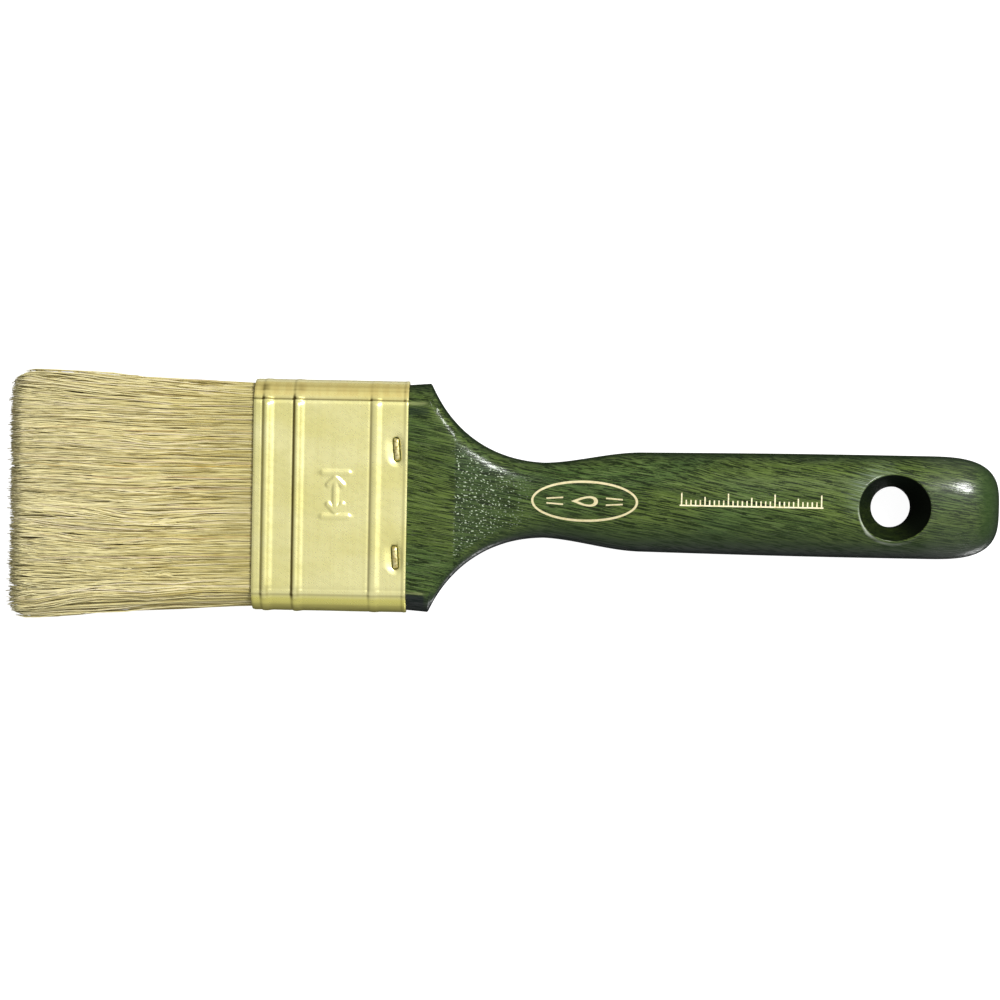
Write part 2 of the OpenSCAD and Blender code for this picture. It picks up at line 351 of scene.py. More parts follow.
CAMERA_HEIGHT = 600.0          # above the brush's middle plane
VIEW_WIDTH = 217.4             # what the camera sees across, at that plane
CAMERA_TILT = math.radians(2.2)
CAMERA_ROLL = math.radians(1.115)
LOOK_AT = (-0.70, -0.15)
SENSOR_W = 36.0
FLOOR_HALF = 3000.0
KEY_DIRECTION = (0.455, 0.435, 0.775)
KEY_DISTANCE = 1100.0
KEY_SIZE = 320.0
KEY_POWER = 11.6
KEY_PATCH = 0.50               # soft light round the key light, added to the studio's
STUDIO_LIGHT = 0.575
LEFT_SHADE = 0.34              # taken off towards -X, and added towards -Y
NEAR_SIDE_LIGHT = 0.12
FAINT_LIGHT = 0.02             # the least, below
LOW_GLOW_DIRECTION = (0.50, -0.68, -0.54)
LOW_GLOW = 5.5


def overhead_camera():
    """Straight above the brush, but for a little tilt and roll."""
    data = bpy.data.cameras.new("camera")
    data.sensor_width = SENSOR_W
    data.lens = SENSOR_W * CAMERA_HEIGHT / VIEW_WIDTH
    data.clip_start = 0.01
    data.clip_end = 20
    camera = bpy.data.objects.new("camera", data)
    bpy.context.scene.collection.objects.link(camera)
    camera.matrix_world = (
        Matrix.Translation(Vector((LOOK_AT[0], LOOK_AT[1], MID_Z)) * MM)
        @ Matrix.Rotation(-CAMERA_TILT, 4, "X")
        @ Matrix.Rotation(CAMERA_ROLL, 4, "Z")
        @ Matrix.Translation(Vector((0, 0, CAMERA_HEIGHT)) * MM)
    )
    bpy.context.scene.camera = camera


def paper_floor():
    """White paper that glows a little, so that it stays white under the soft light."""
    corners = [(x * FLOOR_HALF, y * FLOOR_HALF, 0) for x, y in ((-1, -1), (1, -1), (1, 1), (-1, 1))]
    floor = mesh_piece("floor", corners, [(0, 1, 2, 3)])
    paper = Shader("floor_paper")
    mottled = paper.noise((0.02, 0.02, 0.02))
    paper.colour = paper.ramp(mottled, [(0.3, (150, 150, 150)), (0.7, (154, 154, 154))])
    dress(floor, paper.finished(
        Roughness=0.9, Specular_IOR_Level=0.1, Emission_Color=(1, 1, 1, 1), Emission_Strength=0.95,
    ))
    floor.visible_glossy = False
    floor.visible_diffuse = False


def key_light():
    """A round area light that shines on the middle of the brush."""
    data = bpy.data.lights.new("key", "AREA")
    data.shape = "DISK"
    data.size = KEY_SIZE * MM
    data.energy = KEY_POWER
    light = bpy.data.objects.new("key", data)
    bpy.context.scene.collection.objects.link(light)
    towards = Vector(KEY_DIRECTION).normalized()
    light.location = towards * KEY_DISTANCE * MM
    light.rotation_mode = "QUATERNION"
    light.rotation_quaternion = towards.to_track_quat("Z", "Y")


def studio_world():
    """Soft light from all round: bright round the key light, darker towards -X, dying away below.

    A small glow low on the near side gives the lower edges their thin bright line."""
    world = bpy.data.worlds.new("studio")
    bpy.context.scene.world = world
    world.use_nodes = True
    nodes = Nodes(world.node_tree)
    direction = nodes.node("TexCoord").outputs["Generated"]
    x, y, z = nodes.node("SeparateXYZ", {"Vector": direction}).outputs

    def facing(wanted):
        towards = Vector(wanted).normalized()
        flat = nodes.math("MULTIPLY_ADD", x, towards.x, nodes.times(y, towards.y))
        return nodes.math("MULTIPLY_ADD", z, towards.z, flat)

    patch = nodes.times(nodes.levels(facing(KEY_DIRECTION), 0.76, 0.98), KEY_PATCH)
    low_glow = nodes.times(nodes.levels(facing(LOW_GLOW_DIRECTION), 0.965, 0.992), LOW_GLOW)
    left = nodes.times(nodes.math("MINIMUM", x, 0.0), LEFT_SHADE)
    near_side = nodes.times(nodes.math("MINIMUM", y, 0.0), -NEAR_SIDE_LIGHT)
    value = nodes.plus(left, STUDIO_LIGHT, near_side, patch)
    value = nodes.times(value, nodes.levels(z, -1.0, -0.05))
    value = nodes.plus(nodes.math("MAXIMUM", value, FAINT_LIGHT), low_glow)
    background = world.node_tree.nodes["Background"]
    nodes.plug(value, background.inputs["Color"])
    nodes.plug(1.0, background.inputs["Strength"])


overhead_camera()
paper_floor()
key_light()
studio_world()
bpy.context.scene.view_settings.view_transform = "Standard"

# ---------------------------------------------------------------- shape of the handle

SHOULDER_HALF_W = 24.45        # at the ferrule
SHOULDER_CORNER_HALF_W = 24.8  # at the corner
SHOULDER_CORNER_S = 4.2
NECK_HALF_W = 8.15
WAIST_S = 31.0                 # where the concave side ends
WAIST_L = 29.0                 # its half axes and exponent
WAIST_RISE = 32.0
WAIST_POWER = 2.2
GRIP_HALF_W = 11.2
GRIP_START_HALF_W = 10.8
GRIP_START_S = 28.5
GRIP_FULL_S = 51.0
GRIP_WIDEST_L = 50.0
BUTT_L = 16.5
BUTT_POWER = 3.2
FACE_L = 10.0                  # flat face behind the ferrule
SHOULDER_HALF_T = FERRULE_HALF_T - SHEET_T - 0.05
NECK_HALF_T = 5.3
NECK_S = 27.0
GRIP_HALF_T = 7.9
GRIP_THICK_S = 72.0
SHOULDER_BULGE = 3.9
CUT_SIDE_S = 6.0               # behind the corner the sides are cut straight, with rounded edges
BUTT_SECTION_POWER = 1.75
END_ROUNDING = 4.4
JOIN_S = HOLE_S - 12.0         # rings across the handle end here, and rays from the hole take over

# how square the section is across and how full it is in thickness, at stations behind the shoulder
SECTION_STATIONS = [CUT_SIDE_S, 12, 18, 24, 32, 45, 95, HANDLE_L - BUTT_L]
SECTION_ACROSS = [9, 6.2, 4.2, 3.1, 2.6, 2.6, 2.5, 2.5]
SECTION_UPRIGHT = [7, 4.6, 3.2, 2.5, 2.2, 2.1, 2.1, 2.1]


def handle_half_w(s):
    shoulder = mix(SHOULDER_HALF_W, SHOULDER_CORNER_HALF_W, np.maximum(s, 0) / SHOULDER_CORNER_S)
    waist = NECK_HALF_W + WAIST_RISE * (1 - bow((WAIST_S - s) / WAIST_L, WAIST_POWER))
    grip = mix(NECK_HALF_W, GRIP_START_HALF_W, ease((s - GRIP_START_S) / (GRIP_FULL_S - GRIP_START_S)))
    swell = np.sin(math.pi / 2 * clamp01((s - GRIP_FULL_S) / GRIP_WIDEST_L))
    grip = grip + (GRIP_HALF_W - GRIP_START_HALF_W) * swell
    body = soft_min(shoulder, np.maximum(waist, grip), 0.5)
    return body * bow((s - HANDLE_L + BUTT_L) / BUTT_L, BUTT_POWER)


def handle_half_t(s):
    """Half thickness along the middle, without the rounded end."""
    hollow = 1 - ((s - NECK_S) / (NECK_S - FACE_L)) ** 2
    scoop = np.where(s < FACE_L, 0, np.where(s < NECK_S, hollow, 1))
    scooped = SHOULDER_HALF_T - (SHOULDER_HALF_T - NECK_HALF_T) * scoop
    return scooped + (GRIP_HALF_T - NECK_HALF_T) * ease((s - NECK_S) / (GRIP_THICK_S - NECK_S))


def slab_arc(y, half_w, half_t, bulge):
    """Height of a slab whose narrow sides are arcs, at a distance y from its middle."""
    r = (half_t**2 + bulge**2) / (2 * bulge)
    beyond = np.maximum(np.abs(y) - (half_w - r), 0)
    return np.sqrt(np.maximum(r**2 - beyond**2, 0))


def handle_height(s, y):
    """Height of the handle's upper surface over its middle plane."""
    s = np.asarray(s, float)
    half_w = np.maximum(handle_half_w(s), 1e-6)
    half_t = handle_half_t(s)
    slab = soft_min(half_t, slab_arc(y, half_w, half_t, SHOULDER_BULGE), 0.22)
    across = np.interp(s, SECTION_STATIONS, SECTION_ACROSS)
    upright = np.interp(s, SECTION_STATIONS, SECTION_UPRIGHT)
    cut = half_t * np.power(1 - np.power(clamp01(np.abs(y) / half_w), across), 1 / upright)
    height = mix(slab, cut, ease((s - SHOULDER_CORNER_S) / (CUT_SIDE_S + 0.6 - SHOULDER_CORNER_S)))
    # the end is rounded over in thickness too
    reach = clamp01((s - HANDLE_L + BUTT_L) / BUTT_L)
    return height * np.power(1 - np.power(reach, END_ROUNDING), 1 / BUTT_SECTION_POWER)


def crossing_places(s, half_w, side_steps=22, flat_steps=18):
    """Places from +half_w to -half_w, close together near the edges and at the shoulder's crease."""
    r = (SHOULDER_HALF_T**2 + SHOULDER_BULGE**2) / (2 * SHOULDER_BULGE)
    turn = math.asin(SHOULDER_HALF_T / r)
    arc = half_w - r + r * np.cos(np.linspace(0, turn, side_steps))
    inner = half_w - r + r * math.cos(turn)
    flat = inner * (1 - np.linspace(0, 1, flat_steps + 1)[1:] ** 1.5)
    shoulder = np.concatenate([arc, flat])
    even = half_w * np.sin(math.pi / 2 * (1 - np.linspace(0, 1, side_steps + flat_steps) ** 1.25))
    one_side = mix(shoulder, even, float(ease((s - SHOULDER_CORNER_S) / 5)))
    return np.concatenate([one_side, -one_side[-2::-1]])


def handle_point(s, y, z):
    s, y, z = np.broadcast_arrays(s, y, z)
    return np.stack([REAR_X + s, y, MID_Z + z], axis=-1)


def handle_rings(points):
    """Rings from the tenon's end to JOIN_S: quads, and the last ring's points above and below and its y."""
    stations = np.concatenate([
        [-TENON_L, -TENON_L + 0.6, -6, -1, -0.4],
        np.arange(0, 12, 0.3),
        np.arange(12, 50, 0.45),
        np.linspace(50, JOIN_S, 70),
    ])
    top_rows, bottom_rows = [], []
    for s in stations:
        y = crossing_places(s, float(handle_half_w(s)))
        z = handle_height(s, y)
        z[0] = z[-1] = 0
        top_rows.append(handle_point(s, y, z))
        bottom_rows.append(handle_point(s, y, -z)[1:-1])
    top = points.add(np.array(top_rows))
    bottom_inner = points.add(np.array(bottom_rows))
    bottom = np.concatenate([top[:, :1], bottom_inner, top[:, -1:]], axis=1)
    end_corners = [[top[0, i], top[0, j], bottom[0, j], bottom[0, j]] for i, j in ((0, 1), (-1, -2))]
    end = grid_quads(np.stack([top[0], bottom[0]])[:, 1:-1])
    return [grid_quads(top), grid_quads(bottom), end, end_corners], top[-1], bottom[-1], y


def end_outline():
    """Evenly spaced [s, y] points from JOIN_S round the handle's end and back to JOIN_S."""
    s = JOIN_S + (HANDLE_L - JOIN_S) * np.sin(np.linspace(0, math.pi / 2, 3000))
    fine = np.stack([s, handle_half_w(s)], axis=1)
    fine[-1, 1] = 0
    fine = np.concatenate([fine, fine[-2::-1] * [1, -1]])
    run = np.concatenate([[0], np.cumsum(np.linalg.norm(np.diff(fine, axis=0), axis=1))])
    at = np.linspace(0, run[-1], 131)[1:-1]
    return np.stack([np.interp(at, run, fine[:, 0]), np.interp(at, run, fine[:, 1])], axis=1)


def funnel_rim(ray):
    """Radius of the funnel's rim along each ray: it is a cone, so less where the surface lies lower."""
    cone_top = float(handle_height(HOLE_S + HOLE_RIM_R, 0.0))
    cone_slope = (HOLE_RIM_R - HOLE_R) / (cone_top - HOLE_WAIST_L / 2)
    rim_r = np.full(len(ray), HOLE_RIM_R)
    for _ in range(6):
        level = handle_height(HOLE_S + rim_r * ray[:, 0], rim_r * ray[:, 1])
        rim_r = HOLE_R + (level - HOLE_WAIST_L / 2) * cone_slope
    return rim_r


def hole_wall(rim_r, rim_z, ray):
    """Rows of points down one funnel, through the straight waist and out of the other funnel."""
    waist_z = HOLE_WAIST_L / 2
    rows = []
    for share in np.linspace(0, 1, 16)[1:]:
        rows.append((mix(rim_r, HOLE_R, share), mix(rim_z, waist_z, share)))
    funnel = list(rows)
    for level in np.linspace(waist_z, -waist_z, 5)[1:-1]:
        rows.append((np.full(len(ray), HOLE_R), np.full(len(ray), level)))
    rows += [(r, -level) for r, level in funnel[::-1]]
    return np.array([handle_point(HOLE_S + r * ray[:, 0], r * ray[:, 1], level) for r, level in rows])


def make_handle():
    points = Points()
    quads, top_join, bottom_join, join_y = handle_rings(points)
    outline = end_outline()
    outline_index = points.add(handle_point(outline[:, 0], outline[:, 1], 0.0))

    # rays from the hole's rim to the last ring and the outline, on both faces
    join = np.stack([np.full(len(join_y), JOIN_S), join_y], axis=1)[::-1]
    from_hole = np.concatenate([join, outline]) - [HOLE_S, 0]
    ray_l = np.linalg.norm(from_hole, axis=1)
    ray = from_hole / ray_l[:, None]
    on_join = np.zeros(len(ray))
    on_join[: len(join_y)] = 1 - clamp01(np.abs(join_y[::-1]) / abs(join_y[0])) ** 4
    crowding = 2.0 - on_join
    rim_r = funnel_rim(ray)
    edge_r = rim_r + HOLE_RIM_ROUND
    rows = [rim_r + HOLE_RIM_ROUND * (1 - math.cos(a)) for a in np.linspace(0, math.pi / 2, 7)[:-1]]
    rows += [mix(edge_r, ray_l, 1 - (1 - q) ** crowding) for q in np.linspace(0, 1, 26)[:-1]]
    radius = np.array(rows)
    s = HOLE_S + radius * ray[:, 0]
    y = radius * ray[:, 1]
    inward = clamp01((edge_r - radius) / HOLE_RIM_ROUND)
    z = handle_height(s, y) - HOLE_RIM_ROUND * (1 - np.sqrt(1 - inward**2))
    upper = points.add(handle_point(s, y, z))
    lower = points.add(handle_point(s, y, -z))
    for face, join_index in ((upper, top_join), (lower, bottom_join)):
        last_row = np.concatenate([join_index[::-1], outline_index])
        quads.append(grid_quads(np.concatenate([face, last_row[None]]), wrap_columns=True))
    wall = points.add(hole_wall(rim_r, z[0], ray))
    quads.append(grid_quads(np.concatenate([upper[:1], wall, lower[:1]]), wrap_columns=True))

    piece = mesh_piece("handle_body", points.all(), all_quads(quads))
    point_outwards(piece)
    looks = handle_looks(piece)
    add_attributes(piece.data, looks)
    return piece, list(looks)


def handle_looks(piece):
    """Values over the handle's surface that its wood is coloured by; several of them mark painted shade and
    painted highlights.
    """
    count = len(piece.data.vertices)
    normals = np.empty(3 * count)
    places = np.empty(3 * count)
    piece.data.vertices.foreach_get("normal", normals)
    piece.data.vertices.foreach_get("co", places)
    nx, ny, nz = normals.reshape(-1, 3).T
    x, y, z = places.reshape(-1, 3).T / MM
    s = x - REAR_X
    steepness = 1 - np.abs(nz)

    # the shoulder's creases, and the side faces beyond them
    crease_y = FERRULE_CREASE_Y - 0.25
    from_crease = crease_y - np.abs(y)
    on_shoulder = 1 - ease((s - 3.0 - 0.45 * from_crease) / 1.6)
    side_face = 1 - ease((s - 3.4 - 0.2 * from_crease) / 1.2)

    # round the hanging hole
    from_hole = np.hypot(s - HOLE_S, y)
    share_s, share_y = (s - HOLE_S) / np.maximum(from_hole, 0.1), y / np.maximum(from_hole, 0.1)
    # sectors of the hole's rim: a painted highlight goes towards -X and -Y, a painted sheen towards -X and +Y
    near_corner = clamp01(2.2 * (-0.62 * share_s - 0.78 * share_y) - 1.2)
    far_corner = clamp01(2.0 * (-0.80 * share_s + 0.60 * share_y) - 1.0)
    in_bore = (from_hole < HOLE_RIM_R + 0.6) & (np.abs(z - MID_Z) < handle_height(s, y) - 0.25)
    outside = 1 - in_bore
    behind_neck = ease((s - 24) / 8) * (1 - ease((s - HANDLE_L + 16) / 8))
    return {
        # painted shade: darker and bluer the steeper the surface, more so facing -Y and on the shoulder's
        # side face
        "flank": clamp01(steepness * np.where(ny < 0, 1.2, 1.0) + 0.8 * side_face * clamp01(-4 * ny - 0.4)),
        # painted shade on the side facing -Y
        "lower_side": clamp01(-1.6 * ny),
        "end_face": ease((nx - 0.12) / 0.45) * (s > HOLE_S + HOLE_RIM_R),
        "end_zone": ease((s - HOLE_S - 3.0) / 8.0),
        "plain_flank": 0.4 * ease((steepness - 0.5) / 0.4) * behind_neck,
        "hollow": ease((s - FACE_L) / 0.5) * (1 - ease((s - 17) / 12)) * ease((np.abs(nz) - 0.9) / 0.06),
        # painted highlight along the shoulder's creases
        "crease_wear": bell(np.abs(y), crease_y, 0.26) * on_shoulder,
        "dark_band": bump(y, crease_y - 1.6, 1.5) * on_shoulder,
        # painted highlight: a thin bright line on the hole's rim, towards -X and -Y
        "rubbed_rim": bell(from_hole, HOLE_RIM_R + 0.28, 0.16) * near_corner * outside,
        # painted sheen before the hole, towards -X and +Y
        "hazy": bell(from_hole, HOLE_RIM_R + 0.6, 2.2) * far_corner * outside,
        "hole_rim": bump(from_hole, HOLE_RIM_R + 0.30, 0.45) * outside,
        # painted shade inside the hole, darkest on walls facing -X
        "bore": in_bore * (0.62 + 0.38 * clamp01(-1.5 * nx)),
    }


def wood_noises(shader):
    """The wood's noises by name. Those along the grain wander a little from side to side."""
    turned = {"turn_z": math.radians(9.5)}
    wander = shader.noise((0.018, 0.03, 0.03), detail=1)
    sideways = shader.levels(wander, 0.3, 0.7, -1.1, 1.1, smooth=False)
    grain = {**turned, "drift": shader.node("CombineXYZ", {"Y": sideways}).outputs["Vector"]}
    pores = shader.noise((0.16, 4.3, 1.2), (1, 8, 5), 1, 0.5, **grain)
    dashes = shader.noise((0.22, 5.4, 1.6), (6, 3, 8), 0, **grain)
    long_pores, short_pores = shader.levels(pores, 0.57, 0.585), shader.levels(dashes, 0.605, 0.625)
    return SimpleNamespace(
        bands=shader.noise((0.016, 0.45, 0.22), (0, 0, 0), 3, 0.6, **grain),
        lines=shader.noise((0.07, 2.5, 0.9), (3, 1, 7), 3, 0.6, **grain),
        hairs=shader.noise((0.13, 4.4, 1.4), (9, 4, 2), 2, 0.5, **grain),
        pores=shader.math("MAXIMUM", long_pores, short_pores),
        fine=shader.noise((1.5, 4.5, 4.5), (4, 9, 1), 3, 0.7, **turned),
        patches=shader.noise((0.035, 0.09, 0.09), (5, 2, 1)),
        pits=shader.noise((1.6, 2.8, 2.8), (2, 7, 4), 2, 0.6, **turned),
        nubs=shader.noise((2.1, 3.6, 3.6), (8, 5, 2), 0, **turned),
    )


def lay_stain(shader, noise, look):
    """The stain, its streaks and pores."""
    shader.colour = shader.ramp(noise.bands, [
        (0.30, (52, 68, 19)), (0.44, (68, 87, 27)), (0.56, (82, 101, 37)), (0.72, (63, 81, 23)),
    ])
    shader.over(shader.levels(noise.patches, 0.42, 0.66, 0, 0.45), 46, 78, 38)
    shader.over(shader.levels(noise.lines, 0.51, 0.62, 0, 0.42), 32, 47, 10)
    shader.over(shader.levels(noise.lines, 0.46, 0.34, 0, 0.26), 108, 124, 66)
    shader.over(shader.levels(noise.hairs, 0.56, 0.62, 0, 0.40), 28, 43, 8)
    shader.over(shader.levels(noise.hairs, 0.45, 0.36, 0, 0.20), 124, 138, 88)
    shader.over(shader.times(look.hollow, 0.70), 38, 61, 22)
    shader.over(shader.times(noise.pores, 0.90), 14, 25, 2)
    shader.over(shader.levels(noise.fine, 0.56, 0.70, 0, 0.40), 22, 34, 10)
    shader.over(shader.levels(noise.fine, 0.44, 0.32, 0, 0.22), 132, 146, 88)
    shader.over(shader.times(look.end_face, 0.85), 42, 64, 22)


def lay_painted_highlights_and_band(shader, noise, look):
    """Painted highlights: a bright line on the hole's rim, a streaky painted sheen before the hole, painted
    glints at the lacquer's nubs in the hollow, and a painted highlight along the shoulder's creases; also a
    dark mottled band inside the crease.
    """
    # painted highlight on the hole's rim
    shader.over(shader.times(look.rubbed_rim, 0.8), 206, 214, 196)
    # painted sheen in streaks before the hole
    sheen_streaks = shader.levels(noise.lines, 0.56, 0.40, 0.08, 0.50)
    shader.over(shader.times(look.hazy, sheen_streaks), 138, 156, 128)
    # painted glints: pale dots at the lacquer's nubs in the hollow
    glints = shader.times(shader.levels(noise.nubs, 0.705, 0.73), look.hollow)
    shader.over(shader.times(glints, 0.85), 188, 202, 172)
    mottled = shader.levels(noise.fine, 0.65, 0.40, 0.45, 0.95)
    shader.over(shader.times(look.dark_band, mottled), 20, 36, 20)
    # painted highlight along the creases, broken up by the grain
    wear = shader.levels(noise.lines, 0.3, 0.7, 0.7, 0.35)
    shader.over(shader.times(look.crease_wear, wear), 168, 176, 116)


def paint_shade(shader, look):
    """Painted shade: darker and bluer the steeper the sides, darker on the side facing -Y, the handle's end
    darker, and the inside of the hole nearly black, most on walls facing -X.
    """
    # painted shade on the side facing -Y
    shader.over(shader.times(look.lower_side, 0.88), 34, 50, 22)
    # painted shade: darker and bluer towards the steep sides
    side_colour = shader.blend(look.lower_side, rgb(20, 34, 14), rgb(14, 24, 24))
    shader.colour = shader.blend(shader.levels(look.flank, 0.08, 0.80, 0, 0.90), shader.colour, side_colour)
    shader.over(shader.times(look.end_zone, 0.25), 28, 46, 18)
    # painted shade: the inside of the hole nearly black
    shader.over(look.bore, 9, 14, 6)


def coat_weight(shader, noise, look):
    """The lacquer: thin over pores, flanks, end grain and bore, thick at the hole's rim and in the hollow."""
    bare_end = shader.times(look.end_face, 0.65)
    less = shader.plus(look.plain_flank, bare_end, look.bore, shader.times(noise.pores, 0.40))
    usual = shader.levels(look.end_zone, 0, 1, 0.5, 0.85)
    more = shader.plus(usual, shader.times(look.hole_rim, 0.8), shader.times(look.hollow, 0.15))
    return shader.math("MAXIMUM", shader.minus(more, less), 0.0)


def stained_wood(look_names):
    """Beech stained green under clear lacquer: long grain and short dark pores, with painted shade making it
    darker and bluer towards the sides, and painted highlights at the hole and the creases.
    """
    shader = Shader("stained_wood")
    noise = wood_noises(shader)
    look = SimpleNamespace(**{name: shader.attribute(name) for name in look_names})
    lay_stain(shader, noise, look)
    lay_painted_highlights_and_band(shader, noise, look)
    paint_shade(shader, look)

    height = shader.minus(shader.times(noise.hairs, 0.35), noise.pores)
    nub_height = shader.times(shader.levels(noise.nubs, 0.62, 0.74), shader.times(look.hollow, 1.6))
    coat_height = shader.plus(shader.times(noise.pits, 0.45), nub_height, shader.times(noise.pores, -0.6))
    coat_roughness = shader.levels(look.end_zone, 0, 1, 0.17, 0.19)
    return shader.finished(
        Roughness=shader.levels(noise.lines, 0.3, 0.7, 0.45, 0.60),
        Specular_IOR_Level=shader.levels(look.end_zone, 0, 1, 0.08, 0.16),
        Normal=shader.bump_from(height, 0.03, 0.5),
        Coat_Weight=coat_weight(shader, noise, look),
        Coat_Roughness=shader.minus(coat_roughness, shader.times(look.hole_rim, 0.08)),
        Coat_IOR=1.5,
        Coat_Normal=shader.bump_from(coat_height, 0.05, 0.8),
    )


handle_piece, handle_look_names = make_handle()
dress(handle_piece, stained_wood(handle_look_names))
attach(handle_piece, ROOT_BODY)
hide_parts("handle")

# ---------------------------------------------------------------- ferrule

# pressed beads: foot from the mouth, length of the rise and of the fall, height, and the dirt and painted
# shade at the foot
BEADS = [
    (1.93, 0.90, 1.75, BEAD_H, 0.60),
    (8.58, 0.86, 1.65, BEAD_H, 1.0),
    (25.10, 1.35, 1.25, 0.30, 0.40),
]
LIP_DEPTH = 0.06               # of the groove before a bead's foot
SEAM_SIDE_SHARE = 0.16         # a bead's height on the narrow sides, as a share of its height on the faces
PLAIN_SIDE_SHARE = 0.34
SIGN_X = 17.8                  # middle of the raised sign from the mouth, and across
SIGN_Y = 0.6
SIGN_H = 0.24
STAPLES = [                    # place across the brush, and how far it is turned
    (10.55, math.radians(5)),
    (-12.65, math.radians(4)),
]
STAPLE_X = REAR_X - 2.35
STAPLE_L = 5.0
STAPLE_W = 1.1
STAPLE_T = 0.6
STAPLE_CORNER_R = 0.45
STAPLE_LEG = 5.0
STAPLE_BEND_R = 0.55
DENT_DEPTH = 0.45
DENT_TO_MOUTH = 2.5            # how far a dent reaches from its staple, and half its length across
DENT_TO_REAR = 1.75
DENT_HALF_L = 3.9
SLOT_DEPTH = 0.30
CROWN_TOP = FERRULE_HALF_T - DENT_DEPTH + STAPLE_T
LAP_EDGE = math.radians(39.5)  # where the lapped seam's edge lies, from the middle plane
LAP_H = 0.20
FOLD_DEPTH = 0.10              # of the fold at the seam side's crease
SEAM_LINE = math.radians(40.2)
SEAM_SMUDGE = math.radians(35)
CREASE_ROLL_L = 0.95           # how far before the left crease the face rolls over, and how deep
CREASE_ROLL_DEPTH = 0.15


def steps_between(low, high, fine_zones, fine, coarse):
    """Places from low to high, finely spaced in the zones and coarsely elsewhere."""
    places = [low]
    while places[-1] < high - 1e-9:
        here = places[-1]
        step = fine if any(a <= here + fine / 2 <= b for a, b in fine_zones) else coarse
        gaps = [a - here for a, b in fine_zones if a > here + 1e-6]
        if step == coarse and gaps:
            step = min(step, max(min(gaps), fine))
        places.append(min(here + step, high))
    return np.array(places)


def width_sign(x, y):
    """Relief of the raised width sign: a double-headed arrow between two bars, across the brush."""
    half_l, bar_half, stroke, head_l, head_half = 4.7, 2.7, 0.42, 1.5, 1.5
    a, b = y - SIGN_Y, x - SIGN_X

    def stroke_line(a0, b0, a1, b1):
        da, db = a1 - a0, b1 - b0
        t = clamp01(((a - a0) * da + (b - b0) * db) / (da * da + db * db))
        distance = np.hypot(a - a0 - t * da, b - b0 - t * db)
        return 1 - clamp01(distance / (2 * stroke))

    tip = half_l - 1.1
    lines = [(-tip + 0.2, 0, tip - 0.2, 0)]
    for side in (-1, 1):
        lines.append((side * half_l, -bar_half, side * half_l, bar_half))
        for turn in (-1, 1):
            lines.append((side * tip, 0, side * (tip - head_l), turn * head_half))
    relief = np.zeros(np.broadcast(a, b).shape)
    for line in lines:
        relief = np.maximum(relief, stroke_line(*line))
    return ease(relief * 1.5)


def bead_relief(x, y, z, side_turn):
    """The three beads: lower on the narrow sides, and lowest on the side with the seam."""
    on_side = ease(side_turn / 0.25)
    near_crease = bell(np.abs(y), FERRULE_CREASE_Y, 0.75) * (np.abs(z) > 6)
    share = mix(1.0, np.where(y > 0, SEAM_SIDE_SHARE, PLAIN_SIDE_SHARE), on_side) * (1 - 0.55 * near_crease)
    out = dirt_and_shade = shade = 0
    for foot, rise, fall, height, foot_dirt_and_shade in BEADS:
        up = 1 - (1 - clamp01((x - foot) / rise)) ** 3
        down = ease((x - foot - rise) / fall)
        out = out + share * (height * up * (1 - down) - LIP_DEPTH * bump(x, foot - 0.05, 0.42))
        # dirt and painted shade in the crevice at each bead's foot
        dirt_and_shade = dirt_and_shade + foot_dirt_and_shade * bump(x, foot + 0.10, 0.40 + 0.14 * foot_dirt_and_shade) * (1 - 0.75 * on_side)
        shade = shade + (height > 0.5) * bump(x, foot + rise + 0.62, 0.42) * (1 - on_side)
    return out, dirt_and_shade, shade


def staple_dents(x, y, face, mirror):
    """Where the sheet is pressed in round the staples, with dirt and a painted shadow in the slot at each
    one's edge.
    """
    out = dirt_and_shade = 0
    for centre_y, turn in STAPLES:
        from_x, from_y = x - (STAPLE_X - MOUTH_X), y - centre_y
        dx = from_x * math.cos(turn) + from_y * math.sin(turn) * mirror
        dy = from_y * math.cos(turn) - from_x * math.sin(turn) * mirror
        reach = np.where(dx < 0, DENT_TO_MOUTH, DENT_TO_REAR)
        round_dent = (dx / reach) ** 2 + np.abs(dy / DENT_HALF_L) ** 3
        trough = DENT_DEPTH * (1 - clamp01(round_dent)) ** 1.5
        beyond_x = np.maximum(np.abs(dx) - STAPLE_W / 2 + STAPLE_CORNER_R, 0)
        beyond_y = np.maximum(np.abs(dy) - STAPLE_L / 2 + STAPLE_CORNER_R, 0)
        edge = np.hypot(beyond_x, beyond_y) - STAPLE_CORNER_R
        out = out - face * (trough + SLOT_DEPTH * ease(1 - clamp01((edge - 0.10) / 0.14)))
        # dirt and a painted shadow round each staple's crown
        dirt_and_shade = dirt_and_shade + face * ease(1 - clamp01((edge - 0.12) / 0.20))
    return out, dirt_and_shade


def seam_relief(x, y, z, side_turn):
    """The lapped seam: an edge along the left narrow side, with the sheet lying double below it."""
    seam_side = (y > 0) & (side_turn > 0)
    turned = np.arcsin(clamp01(np.abs(z) / FERRULE_SIDE_R)) * np.sign(z)
    lap = ease((LAP_EDGE - turned) / 0.045) * ease((turned + 0.75) / 0.6) * seam_side
    fold = bell(side_turn, 0.030, 0.042) * seam_side * (z > 0)
    # painted shade in the fold by the crease and a painted shadow line at the lap's edge; the smudges below
    # are dirt
    dirt_and_shade = 0.85 * fold + 0.30 * seam_side * bell(turned, SEAM_LINE, 0.035)
    for smudge_x, strength in ((2.4, 0.5), (10.0, 0.3)):
        dirt_and_shade = dirt_and_shade + strength * bell(x, smudge_x, 0.9) * bell(turned, SEAM_SMUDGE, 0.14) * seam_side
    return LAP_H * lap - FOLD_DEPTH * fold, dirt_and_shade


